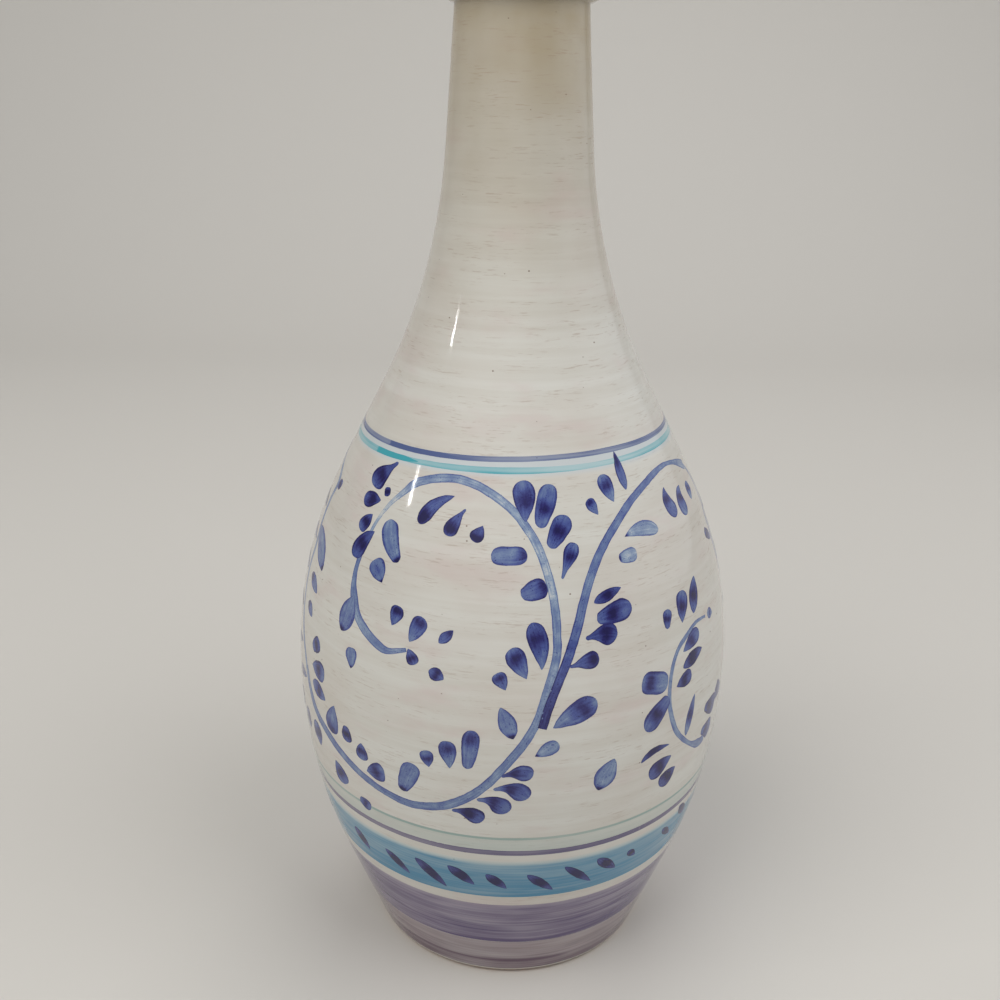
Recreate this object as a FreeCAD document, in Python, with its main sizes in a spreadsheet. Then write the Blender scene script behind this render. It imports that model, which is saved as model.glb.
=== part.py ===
import FreeCAD, Part
import math
import os

import Sketcher

# A wheel-thrown bottle vase: an earthenware body, its inner and outer glaze coats, and the
# coloured bands that a painter lays into the outer coat while the pot turns.
# Millimetres and degrees. The origin is the middle of the foot, where the vase stands, and
# +Z is up. Radii are measured from the vase's axis, heights from the table.

SIZES = {
    # The clay's outer form, from the foot up: straight flank, shoulder and neck lines, which
    # three bends round off. The throat is where the shoulder and neck lines would meet.
    "foot_radius": 52.5,
    "belly_radius": 79.7,
    "belly_height": 110.0,
    "throat_radius": 26.8,
    "neck_length": 84.0,
    "neck_radius": 20.9,
    "neck_height": 337.0,
    # How much of the belly's height the flank's bend takes, and how much of the height from
    # the belly to the throat the bends of the shoulder and of the throat take.
    "flank_round_share": 0.339,
    "shoulder_round_share": 0.276,
    "throat_round_share": 0.28,
    # The clay's thickness, the rolled lip and the turned foot.
    "wall": 5.2,
    "lip_round": 5.4,
    "base_thickness": 7.5,
    "floor_round": 14.0,
    "foot_edge_round": 1.6,
    "foot_ring_width": 8.0,
    "recess_depth": 2.4,
    "recess_round": 1.5,
    # The glaze coats, and how deep the colours sink into the outer one.
    "glaze_coat": 0.6,
    "glaze_start": 1.8,
    "colour_depth": 0.2,
    # The painted bands: the height of each lower edge, and the height that the band covers.
    # The shoulder lines' lower edges are at shares of the height from the belly to the throat.
    "shoulder_blue_share": 0.6406,
    "shoulder_blue_tall": 1.4,
    "shoulder_turquoise_share": 0.6175,
    "shoulder_turquoise_tall": 1.7,
    "sage_low": 73.5,
    "sage_tall": 5.4,
    "slate_low": 71.2,
    "slate_tall": 2.3,
    "turquoise_low": 49.9,
    "turquoise_tall": 16.8,
    "lavender_low": 22.1,
    "lavender_tall": 23.7,
    "lilac_low": 2.6,
    "lilac_tall": 19.5,
    # How far a cutting tool runs past the glaze.
    "overrun": 2.0,
}

# Each painted band: the node it becomes, its lower edge and the height that it covers.
BANDS = {
    "shoulder_blue_line": ("worked_out.shoulder_blue_low", "sizes.shoulder_blue_tall"),
    "shoulder_turquoise_line": ("worked_out.shoulder_turquoise_low",
                                "sizes.shoulder_turquoise_tall"),
    "sage_band": ("sizes.sage_low", "sizes.sage_tall"),
    "slate_line": ("sizes.slate_low", "sizes.slate_tall"),
    "turquoise_band": ("sizes.turquoise_low", "sizes.turquoise_tall"),
    "lavender_band": ("sizes.lavender_low", "sizes.lavender_tall"),
    "lilac_foot_band": ("sizes.lilac_low", "sizes.lilac_tall"),
}

# What follows from the sizes. A lean is the wall's tilt from upright, and a bend is the
# radius of the arc between two of the outline's lines.
WORKED_OUT = {
    "drop": "sizes.neck_height - sizes.neck_length - sizes.belly_height",
    "flank_fall": "sizes.belly_height * (1 - sizes.flank_round_share)",
    "shoulder_rise": "drop * (1 - sizes.shoulder_round_share)",
    "flank_lean": "atan((sizes.belly_radius - sizes.foot_radius) / flank_fall)",
    "shoulder_lean": "atan((sizes.belly_radius - sizes.throat_radius) / shoulder_rise)",
    "neck_lean": "atan((sizes.throat_radius - sizes.neck_radius) / sizes.neck_length)",
    "flank_bend": "sizes.flank_round_share * sizes.belly_height / tan(flank_lean / 2)",
    "shoulder_bend": "sizes.shoulder_round_share * drop / tan(shoulder_lean / 2)",
    "throat_bend": "sizes.throat_round_share * drop / tan((shoulder_lean - neck_lean) / 2)",
    "shoulder_blue_low": "sizes.belly_height + sizes.shoulder_blue_share * drop",
    "shoulder_turquoise_low": "sizes.belly_height + sizes.shoulder_turquoise_share * drop",
}

FULL_TURN = 360.0
# Two places this close count as the same one.
LENGTH_SLACK = 1e-4
# The place of a word in this row is Sketcher's number for that end of an edge.
ENDS = ("edge", "start", "end", "centre")

doc = FreeCAD.newDocument("bottle_vase")


def fill_sheet(name, cells):
    """A sheet with one named cell in each row."""
    sheet = doc.addObject("Spreadsheet::Sheet", name)
    for row, (word, content) in enumerate(cells.items(), start=1):
        sheet.set(f"A{row}", word)
        sheet.set(f"B{row}", str(content))
        sheet.setAlias(f"B{row}", word)
    doc.recompute()
    return sheet


sizes = fill_sheet("sizes", SIZES)
worked_out = fill_sheet("worked_out", {word: f"={rule}" for word, rule in WORKED_OUT.items()})


def size(name):
    """A driving size, read back from its sheet."""
    return float(sizes.get(name))


def bend(name):
    """A bend's radius, read back from the sheet of what follows from the sizes."""
    return float(worked_out.get(name))


def tilt(name):
    """A lean from the same sheet, which gives it in degrees, in radians."""
    return math.radians(float(worked_out.get(name)))


def outline(gap):
    """The junctions and bends of the turned outline, moved out from the clay by gap."""
    flank, shoulder, neck = tilt("flank_lean"), tilt("shoulder_lean"), tilt("neck_lean")
    belly, height = size("belly_radius"), size("belly_height")
    low_bend, high_bend = bend("flank_bend"), bend("shoulder_bend")
    low_centre = (belly - low_bend, height)
    high_centre = (belly - high_bend, height)
    # The throat's bend starts this far down the clay's shoulder line from the throat.
    reach = bend("throat_bend") * math.tan((shoulder - neck) / 2)
    throat_start = (size("throat_radius") + reach * math.sin(shoulder),
                    size("neck_height") - size("neck_length") - reach * math.cos(shoulder))
    throat_centre = turn_from(throat_start, bend("throat_bend"), shoulder)
    throat_bend = bend("throat_bend") - gap
    return {
        "low_centre": low_centre, "low_bend": low_bend + gap,
        "high_centre": high_centre, "high_bend": high_bend + gap,
        "throat_centre": throat_centre, "throat_bend": throat_bend,
        "foot": (size("foot_radius") + gap / math.cos(flank), 0.0),
        "flank_end": turn_from(low_centre, low_bend + gap, -flank),
        "belly": (belly + gap, height),
        "shoulder_start": turn_from(high_centre, high_bend + gap, shoulder),
        "shoulder_end": turn_from(throat_centre, -throat_bend, shoulder),
        "throat_end": turn_from(throat_centre, -throat_bend, neck),
        "neck": (size("neck_radius") + gap / math.cos(neck), size("neck_height")),
    }


def turn_from(centre, radius, angle):
    """The point at that radius from a centre, at an angle above the outward level."""
    return (centre[0] + radius * math.cos(angle), centre[1] + radius * math.sin(angle))


def lip_centre():
    """The middle of the rolled lip's round, which lies against the neck's inner line."""
    neck = tilt("neck_lean")
    inset = size("wall") - size("lip_round")
    climb = math.sqrt(size("lip_round") ** 2 - inset ** 2)
    return (size("neck_radius") - climb * math.sin(neck) - inset * math.cos(neck),
            size("neck_height") + climb * math.cos(neck) - inset * math.sin(neck))


LIP_INSET = "(sizes.wall - sizes.lip_round)"
LIP_CLIMB = f"sqrt(sizes.lip_round ^ 2 - {LIP_INSET} ^ 2)"
LIP_OUT = (f"sizes.neck_radius - {LIP_CLIMB} * sin(worked_out.neck_lean)"
           f" - {LIP_INSET} * cos(worked_out.neck_lean)")
LIP_UP = (f"sizes.neck_height + {LIP_CLIMB} * cos(worked_out.neck_lean)"
          f" - {LIP_INSET} * sin(worked_out.neck_lean)")


class Section:
    """A half section of a turned piece: a sketch on its body's XZ plane, tied to the sheet."""

    def __init__(self, label):
        self.body = doc.addObject("PartDesign::Body", label)
        self.body.Label = label
        planes = self.body.Origin.OriginFeatures
        self.sketch = self.body.newObject("Sketcher::SketchObject", f"{label}_section")
        self.sketch.AttachmentSupport = [(next(p for p in planes if p.Role == "XZ_Plane"), "")]
        self.sketch.MapMode = "FlatFace"

    def line(self, start, end):
        edge = Part.LineSegment(FreeCAD.Vector(*start, 0), FreeCAD.Vector(*end, 0))
        return self.sketch.addGeometry(edge, False)

    def arc(self, centre, radius, first, last):
        circle = Part.Circle(FreeCAD.Vector(*centre, 0), FreeCAD.Vector(0, 0, 1), radius)
        return self.sketch.addGeometry(Part.ArcOfCircle(circle, first, last), False)

    def gauge(self, place, out, up):
        """A construction point at a place that the sheet gives."""
        point = self.sketch.addGeometry(Part.Point(FreeCAD.Vector(*place, 0)), True)
        self.place(point, "start", place, out, up)
        return point

    def tie(self, kind, *ends):
        """A constraint between edges, or between their ends, which are given as words."""
        numbers = [ENDS.index(end) if end in ENDS else end for end in ends]
        return self.sketch.addConstraint(Sketcher.Constraint(kind, *numbers))

    def bind(self, formula, kind, *ends):
        """A dimension whose value is a formula of the sheets' cells."""
        number = self.tie(kind, *ends)
        label = f"size_{number}"
        self.sketch.renameConstraint(number, label)
        self.sketch.setExpression(f"Constraints.{label}", formula)

    def place(self, edge, end, where, out, up):
        self.bind(out, "DistanceX", edge, end, where[0])
        self.bind(up, "DistanceY", edge, end, where[1])

    def on_axis(self, edge, end):
        """Keep an end on the vase's axis, which is the sketch's own edge number -2."""
        self.tie("PointOnObject", edge, end, -2)

    def where(self, edge, end):
        """The place of one end of an edge."""
        point = self.sketch.getPoint(edge, ENDS.index(end))
        return (point.x, point.y)

    def turn(self):
        """Turn the section round the vase's axis into a solid."""
        solid = self.body.newObject("PartDesign::Revolution", f"{self.body.Name}_turned")
        solid.Profile = self.sketch
        solid.ReferenceAxis = (self.sketch, ["V_Axis"])
        solid.Angle = FULL_TURN
        self.sketch.Visibility = False
        self.body.Tip = solid
        doc.recompute()
        return solid


def draw_outline(section, gap, formula):
    """The wall's line from the foot to the neck, moved out from the clay by gap."""
    form = outline(gap)
    flank, shoulder, neck = tilt("flank_lean"), tilt("shoulder_lean"), tilt("neck_lean")
    flank_line = section.line(form["foot"], form["flank_end"])
    low_arc = section.arc(form["low_centre"], form["low_bend"], -flank, 0)
    high_arc = section.arc(form["high_centre"], form["high_bend"], 0, shoulder)
    shoulder_line = section.line(form["shoulder_start"], form["shoulder_end"])
    throat_arc = section.arc(form["throat_centre"], form["throat_bend"],
                             math.pi + neck, math.pi + shoulder)
    neck_line = section.line(form["throat_end"], form["neck"])
    section.tie("Tangent", flank_line, "end", low_arc, "start")
    section.tie("Tangent", low_arc, "end", high_arc, "start")
    section.tie("Tangent", high_arc, "end", shoulder_line, "start")
    section.tie("Tangent", shoulder_line, "end", throat_arc, "end")
    section.tie("Tangent", throat_arc, "start", neck_line, "start")
    section.place(high_arc, "start", form["belly"],
                  f"sizes.belly_radius + {formula}", "sizes.belly_height")
    section.tie("Horizontal", high_arc, "start", high_arc, "centre")
    section.bind(f"worked_out.shoulder_bend + {formula}", "Radius", high_arc, form["high_bend"])
    section.bind(f"worked_out.throat_bend - ({formula})", "Radius", throat_arc, form["throat_bend"])
    section.bind("90 deg - worked_out.flank_lean", "Angle", flank_line, math.pi / 2 - flank)
    section.bind("90 deg + worked_out.shoulder_lean", "Angle", shoulder_line,
                 math.pi / 2 + shoulder)
    section.bind("90 deg + worked_out.neck_lean", "Angle", neck_line, math.pi / 2 + neck)
    foot = section.gauge(form["foot"],
                         f"sizes.foot_radius + ({formula}) / cos(worked_out.flank_lean)", "0")
    top = section.gauge(form["neck"],
                        f"sizes.neck_radius + ({formula}) / cos(worked_out.neck_lean)",
                        "sizes.neck_height")
    section.tie("PointOnObject", foot, "start", flank_line)
    section.tie("PointOnObject", top, "start", neck_line)
    return {"flank": flank_line, "neck": neck_line, "foot": foot, "top": top}


def level_ends(section, edges):
    """End a wall line at the heights of its gauge points, at the floor line and the neck top."""
    section.tie("Horizontal", edges["flank"], "start", edges["foot"], "start")
    section.tie("Horizontal", edges["neck"], "end", edges["top"], "start")


def close_ends(section, first, first_end, second, second_end):
    """A straight edge between two free ends of the section."""
    edge = section.line(section.where(first, first_end), section.where(second, second_end))
    section.tie("Coincident", edge, "start", first, first_end)
    section.tie("Coincident", edge, "end", second, second_end)
    return edge


def draw_lip(section, gap, first, last):
    """The lip's round at a gap from the clay, with its middle placed by the sheet."""
    centre = lip_centre()
    lip = section.arc(centre, size("lip_round") + gap, first, last)
    section.place(lip, "centre", centre, LIP_OUT, LIP_UP)
    return lip


def crease_angle(gap):
    """Where the neck's outer line runs into the underside of the lip's round."""
    inset = size("wall") - size("lip_round")
    return tilt("neck_lean") - math.acos((inset + gap) / (size("lip_round") + gap))


def draw_floor(section, gap, formula, floor_height, floor_formula, edges):
    """The level floor inside and its round corner, up to the inner flank line."""
    flank = tilt("flank_lean")
    corner = size("floor_round") - gap
    low = section.where(edges["flank"], "start")
    # The corner's middle stands one corner radius above the floor and in from the flank line.
    up = floor_height + corner
    out = low[0] + (up - low[1]) * math.tan(flank) - corner / math.cos(flank)
    round_corner = section.arc((out, up), corner, -math.pi / 2, -flank)
    floor = section.line((0, floor_height), (out, floor_height))
    section.tie("Tangent", floor, "end", round_corner, "start")
    section.tie("Tangent", round_corner, "end", edges["flank"], "start")
    section.bind(f"sizes.floor_round - ({formula})", "Radius", round_corner, corner)
    section.bind(floor_formula, "DistanceY", floor, "start", floor_height)
    section.on_axis(floor, "start")
    section.tie("Horizontal", floor)
    return floor


def make_clay_body():
    """The thrown pot: its wall, rolled lip, level floor inside and turned foot ring."""
    section = Section("clay_body")
    outer = draw_outline(section, 0.0, "0")
    inner = draw_outline(section, -size("wall"), "-sizes.wall")
    section.tie("Horizontal", outer["flank"], "start", outer["foot"], "start")
    neck = tilt("neck_lean")
    lip = draw_lip(section, 0.0, crease_angle(0.0), math.pi + neck)
    section.tie("Coincident", lip, "start", outer["neck"], "end")
    section.tie("Tangent", lip, "end", inner["neck"], "end")
    floor = draw_floor(section, 0.0, "0", size("base_thickness"), "sizes.base_thickness", inner)
    foot, ring = size("foot_radius"), size("foot_radius") - size("foot_ring_width")
    depth = size("recess_depth")
    tread = section.line((ring, 0), (foot, 0))
    side = section.line((ring, depth), (ring, 0))
    recess = section.line((0, depth), (ring, depth))
    section.tie("Coincident", tread, "end", outer["flank"], "start")
    section.tie("Coincident", side, "end", tread, "start")
    section.tie("Coincident", recess, "end", side, "start")
    section.tie("Horizontal", tread)
    section.tie("Vertical", side)
    section.tie("Horizontal", recess)
    section.on_axis(recess, "start")
    section.bind("sizes.foot_ring_width", "DistanceX", tread, "start", tread, "end", foot - ring)
    section.bind("sizes.recess_depth", "DistanceY", side, "end", side, "start", depth)
    close_ends(section, floor, "start", recess, "start")
    turned = section.turn()
    soften(section.body, turned, "foot_edge", "foot_edge_round", foot, 0.0)
    soften(section.body, section.body.Tip, "recess_corner", "recess_round", ring, depth)
    return section.body


def soften(body, base, label, round_name, radius, height):
    """Round the circular edge of that radius and height with a fillet bound to the sheet."""
    places = []
    for number, edge in enumerate(base.Shape.Edges, start=1):
        middle = edge.BoundBox.Center
        level = abs(middle.z - height) < LENGTH_SLACK and edge.BoundBox.ZLength < LENGTH_SLACK
        if level and abs(edge.BoundBox.XLength / 2 - radius) < LENGTH_SLACK:
            places.append(f"Edge{number}")
    fillet = body.newObject("PartDesign::Fillet", label)
    fillet.Base = (base, places)
    fillet.setExpression("Radius", f"sizes.{round_name}")
    body.Tip = fillet
    doc.recompute()
    return fillet


def make_outer_coat():
    """The white glaze on the outside, from just above the foot to the crown of the lip."""
    section = Section("outer_coat")
    coat, crown = size("glaze_coat"), math.pi / 2
    clay = draw_outline(section, 0.0, "0")
    face = draw_outline(section, coat, "sizes.glaze_coat")
    clay_lip = draw_lip(section, 0.0, crease_angle(0.0), crown)
    face_lip = draw_lip(section, coat, crease_angle(coat), crown)
    section.bind("sizes.lip_round", "Radius", clay_lip, size("lip_round"))
    section.bind("sizes.lip_round + sizes.glaze_coat", "Radius", face_lip,
                 size("lip_round") + coat)
    for edges, lip in ((clay, clay_lip), (face, face_lip)):
        section.tie("Coincident", lip, "start", edges["neck"], "end")
        section.tie("Vertical", lip, "centre", lip, "end")
        section.bind("sizes.glaze_start", "DistanceY", edges["flank"], "start",
                     size("glaze_start"))
    close_ends(section, clay["flank"], "start", face["flank"], "start")
    close_ends(section, clay_lip, "end", face_lip, "end")
    section.turn()
    return section.body


def make_inner_glaze():
    """The glaze poured inside: the floor, the wall and the mouth, up to the crown."""
    section = Section("inner_glaze")
    coat, wall, crown = size("glaze_coat"), size("wall"), math.pi / 2
    clay = draw_outline(section, -wall, "-sizes.wall")
    face = draw_outline(section, -wall - coat, "-sizes.wall - sizes.glaze_coat")
    last = math.pi + tilt("neck_lean")
    clay_lip = draw_lip(section, 0.0, crown, last)
    face_lip = draw_lip(section, coat, crown, last)
    for edges, lip in ((clay, clay_lip), (face, face_lip)):
        section.tie("Tangent", lip, "end", edges["neck"], "end")
        section.tie("Vertical", lip, "centre", lip, "start")
    height = size("base_thickness")
    clay_floor = draw_floor(section, 0.0, "0", height, "sizes.base_thickness", clay)
    face_floor = draw_floor(section, coat, "sizes.glaze_coat", height + coat,
                            "sizes.base_thickness + sizes.glaze_coat", face)
    close_ends(section, clay_floor, "start", face_floor, "start")
    close_ends(section, clay_lip, "start", face_lip, "start")
    section.turn()
    return section.body


def make_colour_layer():
    """The skin of the outer coat that colours sink into, run out past the glaze's face."""
    section = Section("colour_layer")
    inside = size("glaze_coat") - size("colour_depth")
    outside = size("glaze_coat") + size("overrun")
    deep = draw_outline(section, inside, "sizes.glaze_coat - sizes.colour_depth")
    face = draw_outline(section, outside, "sizes.glaze_coat + sizes.overrun")
    level_ends(section, deep)
    level_ends(section, face)
    close_ends(section, deep["flank"], "start", face["flank"], "start")
    close_ends(section, deep["neck"], "end", face["neck"], "end")
    section.turn()
    return section.body


def make_band(label, low, tall, coat, layer):
    """One painted band: the part of the coat's coloured skin between two heights."""
    slab = doc.addObject("Part::Cylinder", f"{label}_heights")
    slab.setExpression("Radius", "sizes.belly_radius + sizes.glaze_coat + 2 * sizes.overrun")
    slab.setExpression("Height", tall)
    slab.setExpression("Placement.Base.z", low)
    place = doc.addObject("Part::Common", f"{label}_place")
    place.Base = layer
    place.Tool = slab
    band = doc.addObject("Part::Common", label)
    band.Label = label
    band.Base = coat
    band.Tool = place
    return band, place


def make_outer_glaze(coat, places):
    """The outer coat with a shallow bed left in it for each painted band."""
    beds = doc.addObject("Part::Compound", "colour_beds")
    beds.Links = places
    glaze = doc.addObject("Part::Cut", "outer_glaze")
    glaze.Label = "outer_glaze"
    glaze.Base = coat
    glaze.Tool = beds
    return glaze


def check_document():
    """Stop if any object of the document failed to build or a section is loose."""
    for item in doc.Objects:
        if "Invalid" in item.State or "Error" in item.State:
            raise RuntimeError(f"{item.Label} failed to build: {item.State}")
        if item.TypeId == "Sketcher::SketchObject" and not item.FullyConstrained:
            raise RuntimeError(f"{item.Label} has a size that nothing sets")


def check_piece(piece):
    """Stop if a piece is empty, broken or in more than one lump."""
    shape = piece.Shape
    if shape.isNull() or not shape.isValid() or shape.Volume <= 0:
        raise RuntimeError(f"{piece.Label} has no sound solid")
    if len(shape.Solids) != 1:
        raise RuntimeError(f"{piece.Label} is in {len(shape.Solids)} lumps")


def main():
    clay = make_clay_body()
    inner = make_inner_glaze()
    coat = make_outer_coat()
    layer = make_colour_layer()
    bands, places = [], []
    for label, (low, tall) in BANDS.items():
        band, place = make_band(label, low, tall, coat, layer)
        bands.append(band)
        places.append(place)
    glaze = make_outer_glaze(coat, places)
    doc.recompute()
    check_document()
    pieces = [clay, inner, glaze, *bands]
    for piece in pieces:
        check_piece(piece)
    os.makedirs("parts", exist_ok=True)
    for piece in pieces:
        piece.Shape.exportStep(os.path.join("parts", f"{piece.Label}.step"))
        print(f"{piece.Label}: {piece.Shape.Volume:.1f} cubic mm, area {piece.Shape.Area:.1f}")


main()
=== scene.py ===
# %% [markdown]
# # A hand-painted bottle vase
# The vase is one thrown earthenware pot under an off-white tin glaze. A painter has laid
# bands on it while it turned on a banding wheel, and a scroll of leaves by hand. The CAD
# model gives the pot and its coats; this lesson dresses them. It makes the glaze as a turned
# skin, lays every brush mark on that skin as a thin film, and mixes the colours in nodes.

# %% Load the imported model
import math
import random
from functools import partial

import bmesh
import bpy
from mathutils import Matrix, Vector
from mathutils.bvhtree import BVHTree


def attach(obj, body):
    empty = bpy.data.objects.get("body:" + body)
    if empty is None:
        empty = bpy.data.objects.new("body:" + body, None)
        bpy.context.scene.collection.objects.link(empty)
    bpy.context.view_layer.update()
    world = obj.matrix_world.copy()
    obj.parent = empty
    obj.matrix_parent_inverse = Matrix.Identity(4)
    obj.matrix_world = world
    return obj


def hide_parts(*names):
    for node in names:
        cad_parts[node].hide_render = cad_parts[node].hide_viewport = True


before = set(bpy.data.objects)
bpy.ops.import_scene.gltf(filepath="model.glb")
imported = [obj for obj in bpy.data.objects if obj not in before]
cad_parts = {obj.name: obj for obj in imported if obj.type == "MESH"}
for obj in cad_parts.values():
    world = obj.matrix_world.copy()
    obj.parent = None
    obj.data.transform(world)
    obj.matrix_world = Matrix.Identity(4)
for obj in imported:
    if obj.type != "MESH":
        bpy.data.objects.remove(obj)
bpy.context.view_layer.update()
print("CAD nodes:", ", ".join(sorted(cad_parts)))

# %% [markdown]
# ## Helpers
# Nodes are long to write by hand, so one small function adds a node, changes its settings
# and fills its inputs. It serves shader trees and Geometry Nodes trees alike. Colours are
# written as the hex values that a painter's colour card would give, and turned to the linear
# values that Blender works in.

# %% Units, colours and the node helper
MM = 0.001


def colour(hex_value):
    """A linear colour from an sRGB hex value."""
    parts = [int(hex_value[i:i + 2], 16) / 255 for i in (0, 2, 4)]
    linear = [p / 12.92 if p <= 0.04045 else ((p + 0.055) / 1.055) ** 2.4 for p in parts]
    return (*linear, 1.0)


def output(value):
    """A node stands for its first output that is in use."""
    if isinstance(value, bpy.types.Node):
        return next(socket for socket in value.outputs if socket.enabled)
    return value


def add(tree, kind, inputs=(), **settings):
    """Add a node, change its settings, and fill its inputs with links or plain values."""
    node = tree.nodes.new(kind)
    for name, value in settings.items():
        setattr(node, name, value)
    pairs = inputs.items() if isinstance(inputs, dict) else enumerate(inputs)
    for key, value in pairs:
        if isinstance(key, str):
            socket = next(s for s in node.inputs if s.name == key and s.enabled)
        else:
            socket = [s for s in node.inputs if s.enabled][key]
        value = output(value)
        if isinstance(value, bpy.types.NodeSocket):
            tree.links.new(value, socket)
        else:
            socket.default_value = value
    return node


def new_group(name, kind, inputs, outputs):
    """An empty node group with named inputs and outputs, and its two end nodes."""
    group = bpy.data.node_groups.new(name, kind)
    for label, socket in inputs.items():
        group.interface.new_socket(label, in_out="INPUT", socket_type=f"NodeSocket{socket}")
    for label, socket in outputs.items():
        group.interface.new_socket(label, in_out="OUTPUT", socket_type=f"NodeSocket{socket}")
    return group, group.nodes.new("NodeGroupInput"), group.nodes.new("NodeGroupOutput")


def new_piece(name, points, edges, faces=()):
    """A mesh as an object at the origin, most often the paths that a node tree starts from."""
    mesh = bpy.data.meshes.new(name)
    mesh.from_pydata(points, edges, faces)
    piece = bpy.data.objects.new(name, mesh)
    bpy.context.scene.collection.objects.link(piece)
    return piece


def mark(piece, name, values, kind="FLOAT"):
    """Store one value for each point of a piece, for its tree or its material to read."""
    layer = piece.data.attributes.new(name, kind, "POINT")
    key = "vector" if kind == "FLOAT_VECTOR" else "value"
    flat = [part for value in values for part in value] if key == "vector" else values
    layer.data.foreach_set(key, flat)


def grow(piece, tree, **values):
    """Run a Geometry Nodes tree on a piece and keep what it makes as a plain, closed mesh."""
    modifier = piece.modifiers.new(tree.name, "NODES")
    modifier.node_group = tree
    for item in tree.interface.items_tree:
        if item.in_out == "INPUT" and item.name in values:
            modifier[item.identifier] = values[item.name]
    graph = bpy.context.evaluated_depsgraph_get()
    mesh = bpy.data.meshes.new_from_object(
        piece.evaluated_get(graph), preserve_all_data_layers=True, depsgraph=graph)
    piece.modifiers.clear()
    piece.data = mesh
    check = bmesh.new()
    check.from_mesh(mesh)
    volume = check.calc_volume(signed=True) / MM ** 3
    open_edges = sum(not edge.is_manifold for edge in check.edges)
    check.free()
    print(f"{piece.name}: {len(mesh.polygons)} faces, {volume:.0f} mm3, {open_edges} open edges")
    return piece


# %% [markdown]
# ## The camera
# The picture was taken from about 30 cm above the table and 37 cm in front of the vase's
# axis, looking 20 degrees down. The same camera also finds places on the pot: a mark seen at
# a pixel lies where that pixel's ray meets the glaze.

# %% Camera
IMAGE = 1000
FOCAL_PIXELS = 1080
SENSOR_WIDTH = 36.0
CAMERA_PLACE = Vector((0, -374.2, 305.4)) * MM
LOOK_DOWN = math.radians(19.98)
LOOK_LEFT = math.radians(0.79)
CAMERA_ROLL = math.radians(0.68)

camera_data = bpy.data.cameras.new("photo_camera")
camera_data.sensor_width = SENSOR_WIDTH
camera_data.lens = SENSOR_WIDTH * FOCAL_PIXELS / IMAGE
camera_data.clip_start = 10 * MM
camera = bpy.data.objects.new("photo_camera", camera_data)
bpy.context.scene.collection.objects.link(camera)
bpy.context.scene.camera = camera
level_view = Matrix.Rotation(LOOK_LEFT, 4, "Z") @ Matrix.Rotation(math.pi / 2 - LOOK_DOWN, 4, "X")
camera.matrix_world = (Matrix.Translation(CAMERA_PLACE) @ level_view
                       @ Matrix.Rotation(CAMERA_ROLL, 4, "Z"))
print("Lens:", round(camera_data.lens, 2), "mm")


def pixel_ray(x, y):
    """The direction from the camera through a pixel of the photograph."""
    flat = Vector(((x - IMAGE / 2) / FOCAL_PIXELS, (IMAGE / 2 - y) / FOCAL_PIXELS, -1))
    return (camera.matrix_world.to_3x3() @ flat).normalized()


# %% [markdown]
# ## The pot's outline
# A potter thinks of a bottle as a foot, a belly, a shoulder, a throat and a neck. Straight
# lines join them and three bends round the corners off, so seven sizes and three shares give
# the whole outline. They are the CAD model's own, in millimetres, and its box checks them.

# %% Outline of the clay and its coats
FOOT_RADIUS, BELLY_RADIUS, THROAT_RADIUS, NECK_RADIUS = 52.5, 79.7, 26.8, 20.9
BELLY_HEIGHT, NECK_LENGTH, NECK_HEIGHT = 110.0, 84.0, 337.0
FLANK_ROUND, SHOULDER_ROUND, THROAT_ROUND = 0.339, 0.276, 0.28
WALL, LIP_ROUND, BASE_THICKNESS, FLOOR_ROUND = 5.2, 5.4, 7.5, 14.0
COAT, GLAZE_START = 0.6, 1.8
CORNER_STEPS, FLOOR_STEPS = 6, 3


def turned(direction, angle):
    """A direction in the section's plane, turned to the left by an angle."""
    cosine, sine = math.cos(angle), math.sin(angle)
    return Vector((direction.x * cosine - direction.y * sine,
                   direction.x * sine + direction.y * cosine))


def clay_line(step):
    """Points on the clay's outer line, from foot to neck, each with its outward direction."""
    throat = NECK_HEIGHT - NECK_LENGTH
    drop = throat - BELLY_HEIGHT
    corners = [Vector(corner) for corner in (
        (FOOT_RADIUS, 0), (BELLY_RADIUS, BELLY_HEIGHT * (1 - FLANK_ROUND)),
        (BELLY_RADIUS, BELLY_HEIGHT + drop * SHOULDER_ROUND),
        (THROAT_RADIUS, throat), (NECK_RADIUS, NECK_HEIGHT))]
    reaches = (0, BELLY_HEIGHT * FLANK_ROUND, drop * SHOULDER_ROUND, drop * THROAT_ROUND, 0)
    ways = [(end - start).normalized() for start, end in zip(corners, corners[1:])]
    line = []
    for i, way in enumerate(ways):
        start = corners[i] + way * reaches[i]
        end = corners[i + 1] - way * reaches[i + 1]
        count = round((end - start).length / step)
        outward = turned(way, -math.pi / 2)
        line += [(start.lerp(end, k / count), outward) for k in range(count)]
        if reaches[i + 1]:
            turn = -way.angle_signed(ways[i + 1])
            radius = reaches[i + 1] / math.tan(abs(turn) / 2)
            count = max(2, round(radius * abs(turn) / step))
            for k in range(count):
                part = turn * k / count
                chord = 2 * radius * math.sin(abs(part) / 2)
                line.append((end + turned(way, part / 2) * chord,
                             turned(way, part - math.pi / 2)))
    line.append((corners[-1], turned(ways[-1], -math.pi / 2)))
    return line


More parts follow.
